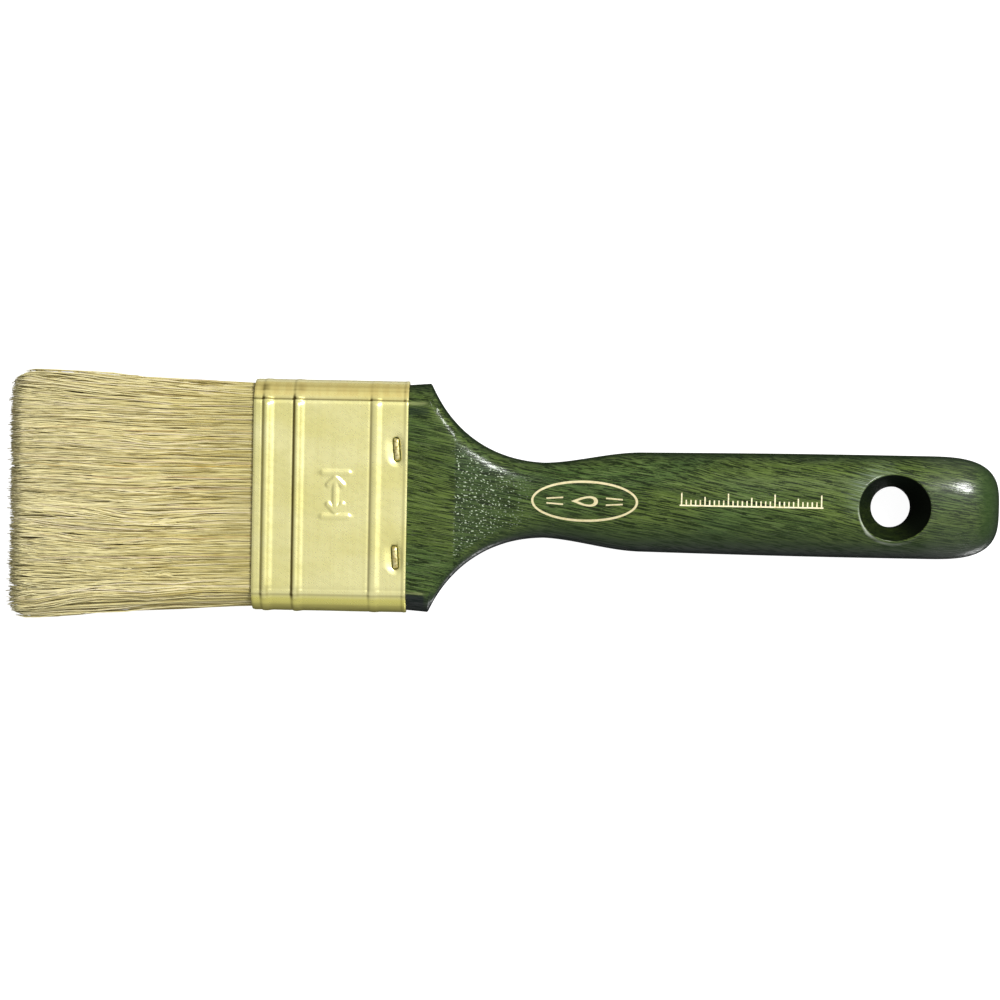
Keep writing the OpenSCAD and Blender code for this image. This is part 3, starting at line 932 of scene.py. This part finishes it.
def crease_relief(y, z, side_turn):
    """The left crease rolls over softly before it, and the right one bends in two steps."""
    on_face = side_turn <= 0
    right_side = (y < 0) & (side_turn > 0)
    roll = clamp01((y - (FERRULE_CREASE_Y - CREASE_ROLL_L)) / CREASE_ROLL_L) ** 2 * on_face
    first_bend = bump(y, -(FERRULE_CREASE_Y - 1.0), 0.42) * on_face
    second_bend = bell(side_turn, 0.050, 0.036) * right_side
    # painted shade along both bends of the right crease, and growing towards the outer edge of the right
    # narrow side's front half
    dirt_and_shade = 0.36 * second_bend + 0.10 * first_bend
    dirt_and_shade = dirt_and_shade + 0.22 * (y < 0) * (z > 0) * ease((side_turn - 0.34) / 0.08)
    return -CREASE_ROLL_DEPTH * roll - 0.045 * first_bend - 0.07 * second_bend, dirt_and_shade


def ferrule_relief(x, y, z, side_turn):
    """How far the sheet stands out from its plain shape, where it has dirt and painted shade, and how much
    painted shade the beads get.

    x is from the mouth, y and z are from the middle. side_turn is 0 on the flat faces, and on the narrow
    sides it is the angle past the crease, in radians."""
    front = (z > 0) & (side_turn <= 0)
    back = (z < 0) & (side_turn <= 0)
    out, dirt_and_shade, shade = bead_relief(x, y, z, side_turn)
    for more_out, more_dirt_and_shade in (
        staple_dents(x, y, front, 1),
        staple_dents(x, y, back, -1),
        seam_relief(x, y, z, side_turn),
        crease_relief(y, z, side_turn),
    ):
        out = out + more_out
        dirt_and_shade = dirt_and_shade + more_dirt_and_shade
    out = out + SIGN_H * width_sign(x, y) * front
    # rolled edges at the mouth and the rear, and the unevenness of a pressed sheet
    out = out - 0.12 * bump(x, 0.0, 0.5) + 0.06 * bump(x, FERRULE_L - 0.40, 0.42)
    # dirt and painted shade at the foot of the rolled rear edge
    dirt_and_shade = dirt_and_shade + 0.28 * bump(x, FERRULE_L - 0.85, 0.35)
    out = out + 0.014 * ripple(x, y + 2 * z, 11, 9.0) + 0.022 * ripple(x, y - z, 12, 26.0)
    return out, clamp01(dirt_and_shade), clamp01(shade)


def slab_loop(flat, half_w, half_t, bulge, arc_steps):
    """Outline of a slab with arc sides, from +Y round: y, z, outward direction and angle past the crease."""
    r = (half_t**2 + bulge**2) / (2 * bulge)
    crease = math.asin(half_t / r)
    steps = np.linspace(-1, 1, arc_steps)[1:-1]
    angles = np.sign(steps) * crease * (1 - (1 - np.abs(steps)) ** 1.5)
    cos, sin = np.cos(angles), np.sin(angles)
    right = np.stack([half_w - r + r * cos, r * sin, cos, sin, crease - np.abs(angles)])
    top = np.stack([flat[::-1], np.full(len(flat), half_t), 0 * flat, 0 * flat + 1, 0 * flat])
    left = right * np.array([[-1], [1], [-1], [1], [1]])
    bottom = np.stack([flat, np.full(len(flat), -half_t), 0 * flat, 0 * flat - 1, 0 * flat])
    y, z, ny, nz, turn = np.concatenate([right, top, left[:, ::-1], bottom], axis=1)
    # the crease is rounded: points near it share a smoothed direction and dip in a little
    near = bell(np.abs(y), half_w - bulge, 0.34) * (np.abs(z) > half_t * 0.7)
    tilt = (math.pi / 2 - crease) / 2
    blended_y = mix(ny, np.sign(y) * math.sin(tilt), 0.9 * near)
    blended_z = mix(nz, np.sign(z) * math.cos(tilt), 0.9 * near)
    length = np.hypot(blended_y, blended_z)
    dip = 0.07 * near
    return y - dip * blended_y, z - dip * blended_z, blended_y / length, blended_z / length, turn


def make_ferrule():
    edge = FERRULE_CREASE_Y
    zones_y = [(-edge, -edge + 1.2), (-17.2, -10.2), (-5.2, 6.3), (6.4, 13.4), (edge - 1.2, edge)]
    y_places = steps_between(-edge, edge, zones_y, 0.21, 0.62)
    zones_x = [(foot - 0.5, foot + rise + fall + 0.1) for foot, rise, fall, _, _ in BEADS]
    zones_x += [(14.8, 21.0), (28.9, FERRULE_L), (0, 0.8)]
    x_places = steps_between(0.0, FERRULE_L, sorted(zones_x), 0.16, 0.55)
    y, z, ny, nz, turn = slab_loop(y_places, FERRULE_HALF_W, FERRULE_HALF_T, SIDE_BULGE, 62)
    out, dirt_and_shade, shade = ferrule_relief(x_places[:, None], y[None], z[None], turn[None])
    inner_places = np.array([FERRULE_L, FERRULE_L - 0.5, FERRULE_L - 6, 6.0, 0.5, 0.0])
    pressed_in = np.full(len(y), -0.45)
    inner_out = -SHEET_T + np.minimum([out[-1], out[-1], pressed_in, pressed_in, out[0], out[0]], 0.0)

    points = Points()
    sheet = np.concatenate([
        points.add(np.stack([MOUTH_X + x[:, None] + 0 * off, y + ny * off, MID_Z + z + nz * off], axis=-1))
        for x, off in ((x_places, out), (inner_places, inner_out))
    ])

    def outside_only(values):
        rows = np.broadcast_to(values, out.shape)
        return np.concatenate([rows.ravel(), np.zeros(inner_out.size)])

    seam_side = (y > 0) & (turn > 0)
    upper_seam = seam_side & (z > -2.0)
    turned = np.degrees(np.arcsin(clamp01(z / FERRULE_SIDE_R)))
    piece = mesh_piece("ferrule_sheet", points.all(), grid_quads(sheet, True, True), attributes={
        "dirt_and_shade": outside_only(dirt_and_shade),
        "shade": outside_only(shade),
        "seam_side": outside_only(seam_side * ease(turn / 0.2)),
        # painted shade over the narrow side facing -Y
        "plain_side_shade": outside_only(((y < 0) & (turn > 0)) * ease(turn / 0.2)),
        # painted highlight along the seam side's outer part
        "painted_seam_rim_light": outside_only(upper_seam * ease((24 - turned) / 7)),
        # painted shade across the seam side's middle
        "seam_middle_shade": outside_only(upper_seam * bump(turned, 33, 8.5)),
    })
    point_outwards(piece)
    return piece


def rolled_brass():
    """Bright rolled brass sheet: rolling lines, cloudy sheen, dirt with painted shade in the slots, at the
    beads' feet and along the folds, painted shade on the narrow sides and the beads, and a painted highlight
    along the seam side's outer part.
    """
    shader = Shader("rolled_brass")
    clouds = shader.noise((0.05, 0.09, 0.09), detail=3)
    rolling = shader.noise((2.4, 0.05, 0.05), (2, 6, 1), 3, 0.6)
    handling = shader.noise((0.6, 1.1, 0.9), (4, 4, 3), 4, 0.65, turn_z=0.5)
    bands = shader.noise((0.9, 0.02, 0.3), (7, 0, 4))
    seam = shader.attribute("seam_side")
    dirt_and_shade = shader.attribute("dirt_and_shade")
    shader.colour = shader.ramp(clouds, [(0.35, (238, 231, 155)), (0.65, (247, 241, 175))])
    shader.over(shader.levels(rolling, 0.35, 0.75, 0, 0.16), 206, 194, 112)
    # painted shade with streaks on the seam side
    painted_seam_side_shade = shader.blend(shader.levels(bands, 0.35, 0.65, 0.25, 0.8), rgb(214, 200, 124), rgb(196, 172, 96))
    shader.colour = shader.blend(shader.times(seam, 0.75), shader.colour, painted_seam_side_shade)
    shader.over(shader.attribute("shade", 0.42), 176, 166, 88)
    # painted highlight on the seam side's outer part
    shader.over(shader.attribute("painted_seam_rim_light", 0.85), 255, 248, 190)
    # painted shade across the seam side's middle
    shader.over(shader.attribute("seam_middle_shade", 0.6), 168, 152, 86)
    # painted shade, darker and yellower, on the narrow side facing -Y
    shader.over(shader.attribute("plain_side_shade", 0.85), 226, 218, 112)
    # dirt and painted shade
    shader.over(shader.times(dirt_and_shade, 0.94), 74, 58, 4)
    height = shader.plus(shader.times(rolling, 0.6), shader.times(handling, 0.5))
    return shader.finished(
        Metallic=shader.math("MAXIMUM", shader.levels(seam, 0, 1, 0.72, 0.30), dirt_and_shade),
        Roughness=shader.plus(shader.levels(handling, 0.3, 0.75, 0.25, 0.34), shader.times(dirt_and_shade, 0.3)),
        Specular_IOR_Level=shader.levels(dirt_and_shade, 0, 0.8, 0.3, 0.0),
        Normal=shader.bump_from(height, 0.005, 0.35),
    )


ferrule_piece = make_ferrule()
dress(ferrule_piece, rolled_brass())
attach(ferrule_piece, ROOT_BODY)
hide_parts("ferrule")

# ---------------------------------------------------------------- staples


def staple_path():
    """The wire's centre line in its own plane, with the outward direction at each point."""
    half_l = (STAPLE_L - STAPLE_T) / 2
    angles = np.linspace(0, math.pi / 2, 7)
    across = half_l - STAPLE_BEND_R + STAPLE_BEND_R * np.sin(angles)
    bend = np.stack([across, -STAPLE_BEND_R * (1 - np.cos(angles))], axis=1)
    leg = [(half_l, -depth) for depth in (STAPLE_BEND_R + 1.2, STAPLE_LEG - 0.4, STAPLE_LEG)]
    half = np.concatenate([bend, leg])
    half_out = np.concatenate([np.stack([np.sin(angles), np.cos(angles)], axis=1), [(1, 0)] * 3])
    path = np.concatenate([half[::-1] * [-1, 1], half])
    outward = np.concatenate([half_out[::-1] * [-1, 1], half_out])
    path[:, 1] += 0.05 * np.cos(path[:, 0] / half_l * math.pi / 2) * (path[:, 1] > -0.01)
    return path, outward


def wire_rings(path, outward, corner=3.2, around=12):
    """Rounded-rectangle sections of the flat wire along its path."""
    angles = np.linspace(0, 2 * math.pi, around, endpoint=False) + math.pi / around
    c, s = np.cos(angles), np.sin(angles)
    section_x = STAPLE_W / 2 * np.sign(c) * np.abs(c) ** (2 / corner)
    section_out = STAPLE_T / 2 * np.sign(s) * np.abs(s) ** (2 / corner)
    rings = [np.stack([section_x, p[0] + n[0] * section_out, p[1] + n[1] * section_out], axis=-1)
             for p, n in zip(path, outward)]
    return np.array(rings)


def make_staple(name, centre_y, turn, face):
    """A flat-wire staple: its crown shows in the dent, and its legs run down into the tenon."""
    rings = wire_rings(*staple_path())
    taper = np.ones(len(rings))
    taper[0] = taper[-1] = 0.35
    middle = rings.mean(axis=1, keepdims=True)
    rings = middle + (rings - middle) * taper[:, None, None]
    x, y, z = rings[..., 0], rings[..., 1], rings[..., 2] + CROWN_TOP - STAPLE_T / 2
    turned_x = x * math.cos(turn) - y * math.sin(turn)
    turned_y = x * math.sin(turn) + y * math.cos(turn)
    shape = np.stack([STAPLE_X + turned_x * face, centre_y + turned_y, MID_Z + face * z], axis=-1)
    points = Points()
    index = points.add(shape)
    centres = points.add(shape[[0, -1]].mean(axis=1))
    quads = [grid_quads(index, wrap_columns=True)]
    for ring, centre in ((index[0], centres[0]), (index[-1], centres[1])):
        middles = np.full(len(ring), centre)
        quads.append(np.stack([ring, np.roll(ring, -1), middles, middles], axis=-1))
    piece = mesh_piece(name, points.all(), all_quads(quads))
    point_outwards(piece)
    return piece


def staple_metal():
    shader = Shader("staple_wire")
    wear = shader.noise((1.6, 1.6, 1.6), detail=3, roughness=0.6)
    shader.colour = shader.ramp(wear, [(0.35, (214, 196, 120)), (0.65, (246, 236, 178))])
    return shader.finished(
        Metallic=1.0,
        Roughness=shader.levels(wear, 0.3, 0.7, 0.24, 0.40),
        Normal=shader.bump_from(wear, 0.02, 0.5),
    )


wire = staple_metal()
for face_name, face in (("front", 1), ("back", -1)):
    for side_name, (centre_y, turn) in zip(("left", "right"), STAPLES):
        staple_piece = make_staple(f"{face_name}_staple_{side_name}_wire", centre_y, turn, face)
        dress(staple_piece, wire)
        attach(staple_piece, ROOT_BODY)
        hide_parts(f"{face_name}_staple_{side_name}")

# ---------------------------------------------------------------- bristles

ROOT_DEPTH = 9.0               # how far the drawn bristles reach into the mouth
MOUTH_HALF_W = FERRULE_HALF_W - SHEET_T - 0.35
MOUTH_HALF_T = FERRULE_HALF_T - SHEET_T - 0.2
MOUTH_BULGE = SIDE_BULGE - 0.4
END_HALF_T = 4.9
LAYER_Z = 2.3                  # half the middle layer's thickness
SKIN_DEPTH = 0.95              # fine bristles lie this deep, and thicker ones fill the inside
SKIN_SPACING = 0.245
SKIN_RADII = (0.095, 0.165)
FILL_SPACING = 0.55
FILL_RADII = (0.19, 0.25)
SEGMENTS = 12                  # of a bristle's tube, along and round it
SIDES = 4
LEFT_CORNER_R = 6.0            # corners of the tuft's end, seen from above
RIGHT_CORNER_R = 4.6
LOCK_COUNT = 420
LOCK_PULL = 0.16               # how far the tips move to their lock's middle, as a share
TUFT_LEAN = 0.6


def inside_mouth(y, z, inset):
    """True where a point of the mouth's section is at least inset from its edge."""
    height = slab_arc(y, MOUTH_HALF_W - inset, MOUTH_HALF_T - inset, MOUTH_BULGE)
    return (np.abs(z) < np.minimum(height, MOUTH_HALF_T - inset)) & (np.abs(y) < MOUTH_HALF_W - inset)


def scattered(spacing, keep):
    """Jittered points of a staggered grid over the mouth's section, where keep says so."""
    row_step = spacing * math.sqrt(3) / 2
    rows = np.arange(-MOUTH_HALF_T, MOUTH_HALF_T + row_step, row_step)
    columns = np.arange(-MOUTH_HALF_W, MOUTH_HALF_W + spacing, spacing)
    y = (columns[None] + np.where(np.arange(len(rows)) % 2, spacing / 2, 0)[:, None]).ravel()
    z = np.repeat(rows, len(columns))
    y = y + rng.uniform(-0.38, 0.38, len(y)) * spacing
    z = z + rng.uniform(-0.38, 0.38, len(z)) * spacing
    chosen = keep(y, z)
    return y[chosen], z[chosen]


def bristle_starts():
    """Where the bristles leave the mouth, y and z from its middle, and 1 for those of the skin."""
    skin = scattered(SKIN_SPACING, lambda y, z: inside_mouth(y, z, 0.12) & ~inside_mouth(y, z, SKIN_DEPTH))
    fill = scattered(FILL_SPACING, lambda y, z: inside_mouth(y, z, SKIN_DEPTH))
    y0, z0 = np.concatenate([skin, fill], axis=1)
    return y0, z0, np.repeat([1.0, 0.0], [len(skin[0]), len(fill[0])])


def bristle_lengths(y0, z0, corner_r):
    """Length of each bristle from the mouth, to a chisel end with rounded corners; some are much shorter."""
    count = len(y0)
    across = np.abs(y0) / MOUTH_HALF_W * TUFT_TIP_HALF_W
    corner = clamp01((across - (TUFT_TIP_HALF_W - corner_r)) / corner_r)
    short = 0.9 * (np.abs(z0) / MOUTH_HALF_T) ** 3 + corner_r * (1 - np.sqrt(1 - corner**2))
    short = short + 0.75 + np.abs(rng.normal(0, 0.5, count))
    short = short + np.where(rng.random(count) < 0.14, rng.uniform(0.5, 4.5, count), 0)
    short = short - 0.6 * (rng.random(count) < 0.06)
    return TUFT_L - short


def lay_bristles(y0, z0, distance, free):
    """Sideways places along each bristle: the tuft's flare, locks, leans, slow drifts and small waves.

    distance is from the mouth outwards, and free is its share of the tuft's length."""
    count = len(y0)
    flare = TUFT_TIP_HALF_W / MOUTH_HALF_W - 1
    thin = 1 - END_HALF_T / MOUTH_HALF_T
    y = y0[:, None] * (1 + flare * np.minimum(free * 1.12, 1))
    z = z0[:, None] * (1 - thin * free**1.6)

    # bristles crowd into locks towards the tips, and leave dark gaps between them
    lock_y = rng.uniform(-MOUTH_HALF_W, MOUTH_HALF_W, LOCK_COUNT)
    lock_z = rng.uniform(-MOUTH_HALF_T, MOUTH_HALF_T, LOCK_COUNT)
    nearest = np.argmin((y0[:, None] - lock_y) ** 2 + 0.35 * (z0[:, None] - lock_z) ** 2, axis=1)
    pull = LOCK_PULL * free**1.4
    y = y + (lock_y[nearest] - y0)[:, None] * pull
    z = z + (lock_z[nearest] - z0)[:, None] * pull * 0.25
    lock_lean = rng.normal(0, 0.30, LOCK_COUNT)[nearest][:, None]
    crossing = np.where(rng.random(count) < 0.22, 2.6, 0.8)
    own_lean = (rng.normal(0, 1.0, count) * crossing)[:, None]
    own_bend = rng.normal(0, 1.2, count)[:, None]
    y = y + (lock_lean + own_lean) * free**1.4 + own_bend * free * (1 - free)

    # waves of the locks, a drift of the whole tuft, and each bristle's own waves
    lock_wave_h = np.abs(rng.normal(0, 0.30, LOCK_COUNT))[nearest][:, None]
    lock_wave_l = rng.uniform(22, 46, LOCK_COUNT)[nearest][:, None]
    lock_phase = rng.uniform(0, 2 * math.pi, LOCK_COUNT)[nearest][:, None]
    lock_wave = np.sin(distance / lock_wave_l * 2 * math.pi + lock_phase)
    y = y + lock_wave_h * lock_wave * np.minimum(1, free * 2.2)
    y = y + 1.1 * ripple(y0[:, None] + 0 * free, 22 * free, 31, 19.0) * free**1.2
    phase = rng.uniform(0, 2 * math.pi, (count, 2))
    turns = distance / rng.uniform(12, 34, count)[:, None] * 2 * math.pi
    wave_h = rng.uniform(0.04, 0.30, count)[:, None] * np.minimum(1, free * 6)
    y = y + wave_h * np.sin(turns + phase[:, :1])
    z = z + wave_h * 0.5 * np.sin(turns + phase[:, 1:])
    return y, z


def bristle_paths():
    """Centre lines and radii of all bristles, and the values that they are coloured by."""
    y0, z0, skin = bristle_starts()
    count = len(y0)
    corner_r = np.where(y0 > 0, LEFT_CORNER_R, RIGHT_CORNER_R)
    length = bristle_lengths(y0, z0, corner_r)
    u = 1 - (1 - np.linspace(0, 1, SEGMENTS + 1)[None]) ** 1.35
    distance = -ROOT_DEPTH + (length[:, None] + ROOT_DEPTH) * u
    free = np.maximum(distance, 0) / TUFT_L
    y, z = lay_bristles(y0, z0, distance, free)

    # split, curled ends
    near_end = clamp01(1 - (length[:, None] - distance) / 4.5) ** 1.5
    y = y + rng.normal(0, 0.42, count)[:, None] * near_end
    z = z + rng.normal(0, 0.30, count)[:, None] * near_end

    # a few stray ones stand away near their ends
    stray_share = np.where(np.abs(y0) / MOUTH_HALF_W > 0.95, 0.16, 0.012)
    stray = (rng.random(count) < stray_share) & (skin > 0)
    y = y + (stray * rng.normal(0, 1.0, count))[:, None] * free**3
    z = z + (stray * np.abs(rng.normal(0, 0.6, count)) * np.sign(z0))[:, None] * free**3

    # nothing leaves the tuft's outline by more than a hair, except the stray ones
    corner_r = corner_r[:, None]
    beyond = clamp01((distance - (TUFT_L - corner_r)) / corner_r)
    round_corner = corner_r * (1 - np.sqrt(np.maximum(1 - beyond**2, 0.02)))
    limit_y = mix(MOUTH_HALF_W, TUFT_TIP_HALF_W, np.minimum(free * 1.15, 1)) - round_corner
    limit_y = limit_y + 0.6 * stray[:, None]
    limit_z = mix(MOUTH_HALF_T, END_HALF_T, clamp01(free) ** 1.6) + 0.25 + 0.8 * stray[:, None]
    y = np.clip(y, -limit_y, limit_y) - TUFT_LEAN * np.minimum(free, 1)
    z = np.clip(z, -limit_z, limit_z)
    path = np.stack([MOUTH_X - distance, y, MID_Z + z], axis=-1)

    thick = np.where(skin > 0, rng.uniform(*SKIN_RADII, count), rng.uniform(*FILL_RADII, count))
    radius = thick[:, None] * (1 - 0.28 * free**2)
    radius[:, -1] *= 0.45
    looks = {
        "tone": np.broadcast_to(rng.random(count)[:, None], free.shape),
        "inner": np.broadcast_to(1 - skin[:, None], free.shape),
        "along": free,
        "to_end": distance[:, -1:] - distance,
    }
    return path, radius, z0, looks


def tubes(path, radius):
    """Four-sided tubes round paths that run roughly along X, as points and quads."""
    count, rows, _ = path.shape
    tangent = np.gradient(path, axis=1)
    tangent /= np.linalg.norm(tangent, axis=2, keepdims=True)
    across = np.cross(tangent, [0, 0, 1.0])
    across /= np.linalg.norm(across, axis=2, keepdims=True)
    upward = np.cross(across, tangent)
    turn = rng.uniform(0, math.pi / 2, (count, 1, 1))
    rings = []
    for i in range(SIDES):
        angle = 2 * math.pi * i / SIDES + turn
        rings.append(path + radius[..., None] * (np.cos(angle) * across + np.sin(angle) * upward))
    points = np.stack(rings, axis=2)
    index = np.arange(points.size // 3).reshape(count, rows, SIDES)
    following = np.roll(index, -1, axis=2)
    walls = np.stack([index[:, :-1], index[:, 1:], following[:, 1:], following[:, :-1]], axis=-1)
    root_caps, tip_caps = index[:, 0], index[:, -1, ::-1]
    return points.reshape(-1, 3), np.concatenate([walls.reshape(-1, 4), root_caps, tip_caps])


def bristle_hair():
    """Bleached hog bristle: straw-coloured shafts of uneven tone, a few grey or tawny, with darker tips;
    painted shade darkens the inner bristles and those near the mouth.
    """
    shader = Shader("bristle_hair")
    mottle = shader.noise((0.07, 0.7, 0.7), (0, 0, 0), 3, 0.6)
    dashes = shader.noise((0.22, 2.6, 2.6), (5, 1, 8), 2, 0.6)
    speck = shader.noise((1.0, 2.2, 2.2), (3, 3, 3), 3, 0.7)
    along = shader.attribute("along")
    shader.colour = shader.ramp(shader.attribute("tone"), [
        (0.00, (150, 132, 72)),
        (0.06, (186, 168, 100)),
        (0.16, (205, 192, 122)),
        (0.50, (222, 209, 148)),
        (0.80, (234, 224, 170)),
        (0.92, (226, 212, 182)),
        (0.975, (196, 172, 132)),
        (1.00, (214, 178, 84)),
    ], "LINEAR")
    shader.over(shader.levels(mottle, 0.40, 0.75, 0, 0.30), 168, 152, 88)
    shader.over(shader.levels(dashes, 0.54, 0.66, 0, 0.50), 146, 126, 60)
    shader.over(shader.levels(dashes, 0.46, 0.34, 0, 0.30), 246, 238, 192)
    # painted shade: the inner bristles darker and browner
    shader.over(shader.attribute("inner", 0.7), 142, 118, 46)
    # painted shade: darker near the mouth
    shader.over(shader.levels(along, 0.30, 0.0, 0, 0.42, smooth=False), 168, 158, 96)
    shader.over(shader.levels(along, 0.2, 0.95, 0, 0.35, smooth=False), 238, 232, 190)
    tip = shader.levels(shader.attribute("to_end"), 3.2, 0.3, 0, 0.48)
    shader.over(shader.times(tip, shader.levels(speck, 0.44, 0.58)), 92, 92, 40)
    return shader.finished(
        Roughness=shader.levels(mottle, 0.3, 0.7, 0.38, 0.52),
        Specular_IOR_Level=0.25,
        Normal=shader.bump_from(shader.noise((0.9, 5.0, 5.0)), 0.03, 0.5),
    )


def make_bristles():
    hair = bristle_hair()
    path, radius, z0, looks = bristle_paths()
    layers = [("front", z0 > LAYER_Z), ("middle", np.abs(z0) <= LAYER_Z), ("back", z0 < -LAYER_Z)]
    for name, chosen in layers:
        points, quads = tubes(path[chosen], radius[chosen])
        attributes = {look: np.repeat(values[chosen].ravel(), SIDES) for look, values in looks.items()}
        piece = mesh_piece(f"{name}_bristle_layer", points, quads, attributes=attributes)
        dress(piece, hair)
        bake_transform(piece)
        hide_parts(f"{name}_roots", f"{name}_bristles")


make_bristles()

# ---------------------------------------------------------------- printed marks on the grip

INK_LIFT = 0.035               # above the wood, and below it so that the print is closed
INK_SINK = 0.08
MARK_CENTRE = np.array([38.2, 0.15])
MARK_RING = np.array([11.5, 4.45])
RING_STROKE = 0.5
RULE_S = 59.0
RULE_L = 30
RULE_Y = -0.25


def ink_rows(points, one_edge, other_edge):
    """Four rows of points, below and above the handle's upper face, along two lines of [s, y] points."""
    rows = []
    for edge, heights in ((one_edge, (-INK_SINK, INK_LIFT)), (other_edge, (INK_LIFT, -INK_SINK))):
        s, y = edge.T
        rows += [handle_point(s, y, handle_height(s, y) + height) for height in heights]
    return points.add(np.array(rows))


def surface_ribbon(points, quads, inner, outer):
    """A thin closed band between two loops of [s, y] points."""
    quads.append(grid_quads(ink_rows(points, inner, outer), wrap_rows=True, wrap_columns=True))


def surface_bar(points, quads, start, end, width):
    """A straight printed bar between two [s, y] points."""
    start, end = np.array(start, float), np.array(end, float)
    length = np.linalg.norm(end - start)
    along = (end - start) / length
    across = np.array([-along[1], along[0]]) * width / 2
    line = start + (end - start) * np.linspace(0, 1, max(2, int(length / 0.8) + 1))[:, None]
    index = ink_rows(points, line - across, line + across)
    quads += [grid_quads(index, wrap_rows=True), [index[:, 0]], [index[:, -1]]]


def make_print():
    """A generic mark in gold: an oval ring with a paint drop, and a plain ruled line with ticks."""
    points, quads = Points(), []
    around = np.linspace(0, 2 * math.pi, 96, endpoint=False)
    oval = np.stack([np.cos(around), np.sin(around)], axis=1)
    surface_ribbon(
        points, quads, MARK_CENTRE + oval * (MARK_RING - RING_STROKE), MARK_CENTRE + oval * MARK_RING,
    )
    around = np.linspace(0, 2 * math.pi, 48, endpoint=False)
    drop = np.stack([-2.9 * np.cos(around), 1.55 * np.sin(around) * np.sin(around / 2) ** 1.3], axis=1)
    surface_ribbon(points, quads, MARK_CENTRE + drop * 0.62 + [0.25, 0], MARK_CENTRE + drop)
    for side in (-1, 1):
        for reach in (-1, 1):
            inner_end = MARK_CENTRE + [side * 4.6, reach * 0.75]
            surface_bar(points, quads, inner_end, MARK_CENTRE + [side * 8.2, reach * 0.5], 0.32)
    surface_bar(points, quads, (RULE_S - 0.4, RULE_Y), (RULE_S + RULE_L + 0.4, RULE_Y), 0.3)
    for i in range(RULE_L + 1):
        height = 2.7 if i % 10 == 0 else (1.9 if i % 5 == 0 else 1.2)
        surface_bar(points, quads, (RULE_S + i, RULE_Y + 0.05), (RULE_S + i, RULE_Y + height), 0.28)
    places = points.all()
    on_mark = places[:, 0] < REAR_X + MARK_CENTRE[0] + MARK_RING[0] + 1
    piece = mesh_piece("gold_print", places, all_quads(quads), smooth=False, attributes={"mark": on_mark})
    point_outwards(piece)
    return piece


def gold_ink():
    shader = Shader("gold_ink")
    worn = shader.noise((1.2, 2.5, 2.5), detail=3, roughness=0.7)
    shader.colour = shader.ramp(worn, [
        (0.30, (200, 186, 130)), (0.52, (243, 234, 192)), (0.8, (250, 242, 206)),
    ])
    shader.over(shader.attribute("mark", 0.55), 186, 172, 118)
    return shader.finished(
        Roughness=shader.levels(worn, 0.3, 0.7, 0.35, 0.5), Coat_Weight=0.6, Coat_Roughness=0.1,
    )


print_piece = make_print()
dress(print_piece, gold_ink())
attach(print_piece, ROOT_BODY)

# ---------------------------------------------------------------- looks of the CAD pieces inside the ferrule


def plain_wood():
    shader = Shader("spacer_wood")
    grain = shader.noise((0.4, 0.06, 3.0), detail=3)
    shader.colour = shader.ramp(grain, [(0.35, (176, 142, 96)), (0.65, (214, 184, 136))])
    return shader.finished(
        Roughness=shader.levels(grain, 0.3, 0.7, 0.6, 0.8),
        Normal=shader.bump_from(grain, 0.05, 0.6),
    )


def cast_resin():
    shader = Shader("setting_resin")
    cloud = shader.noise((0.2, 0.2, 0.2), detail=4)
    shader.colour = shader.ramp(cloud, [(0.3, (120, 78, 34)), (0.7, (172, 122, 62))])
    return shader.finished(
        Roughness=shader.levels(cloud, 0.3, 0.7, 0.15, 0.35),
        Normal=shader.bump_from(cloud, 0.05, 0.4),
    )


inner_materials = {"epoxy_setting": cast_resin()}
inner_materials["front_spacer"] = inner_materials["back_spacer"] = plain_wood()
for node_name, material in inner_materials.items():
    dress(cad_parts[node_name], material)
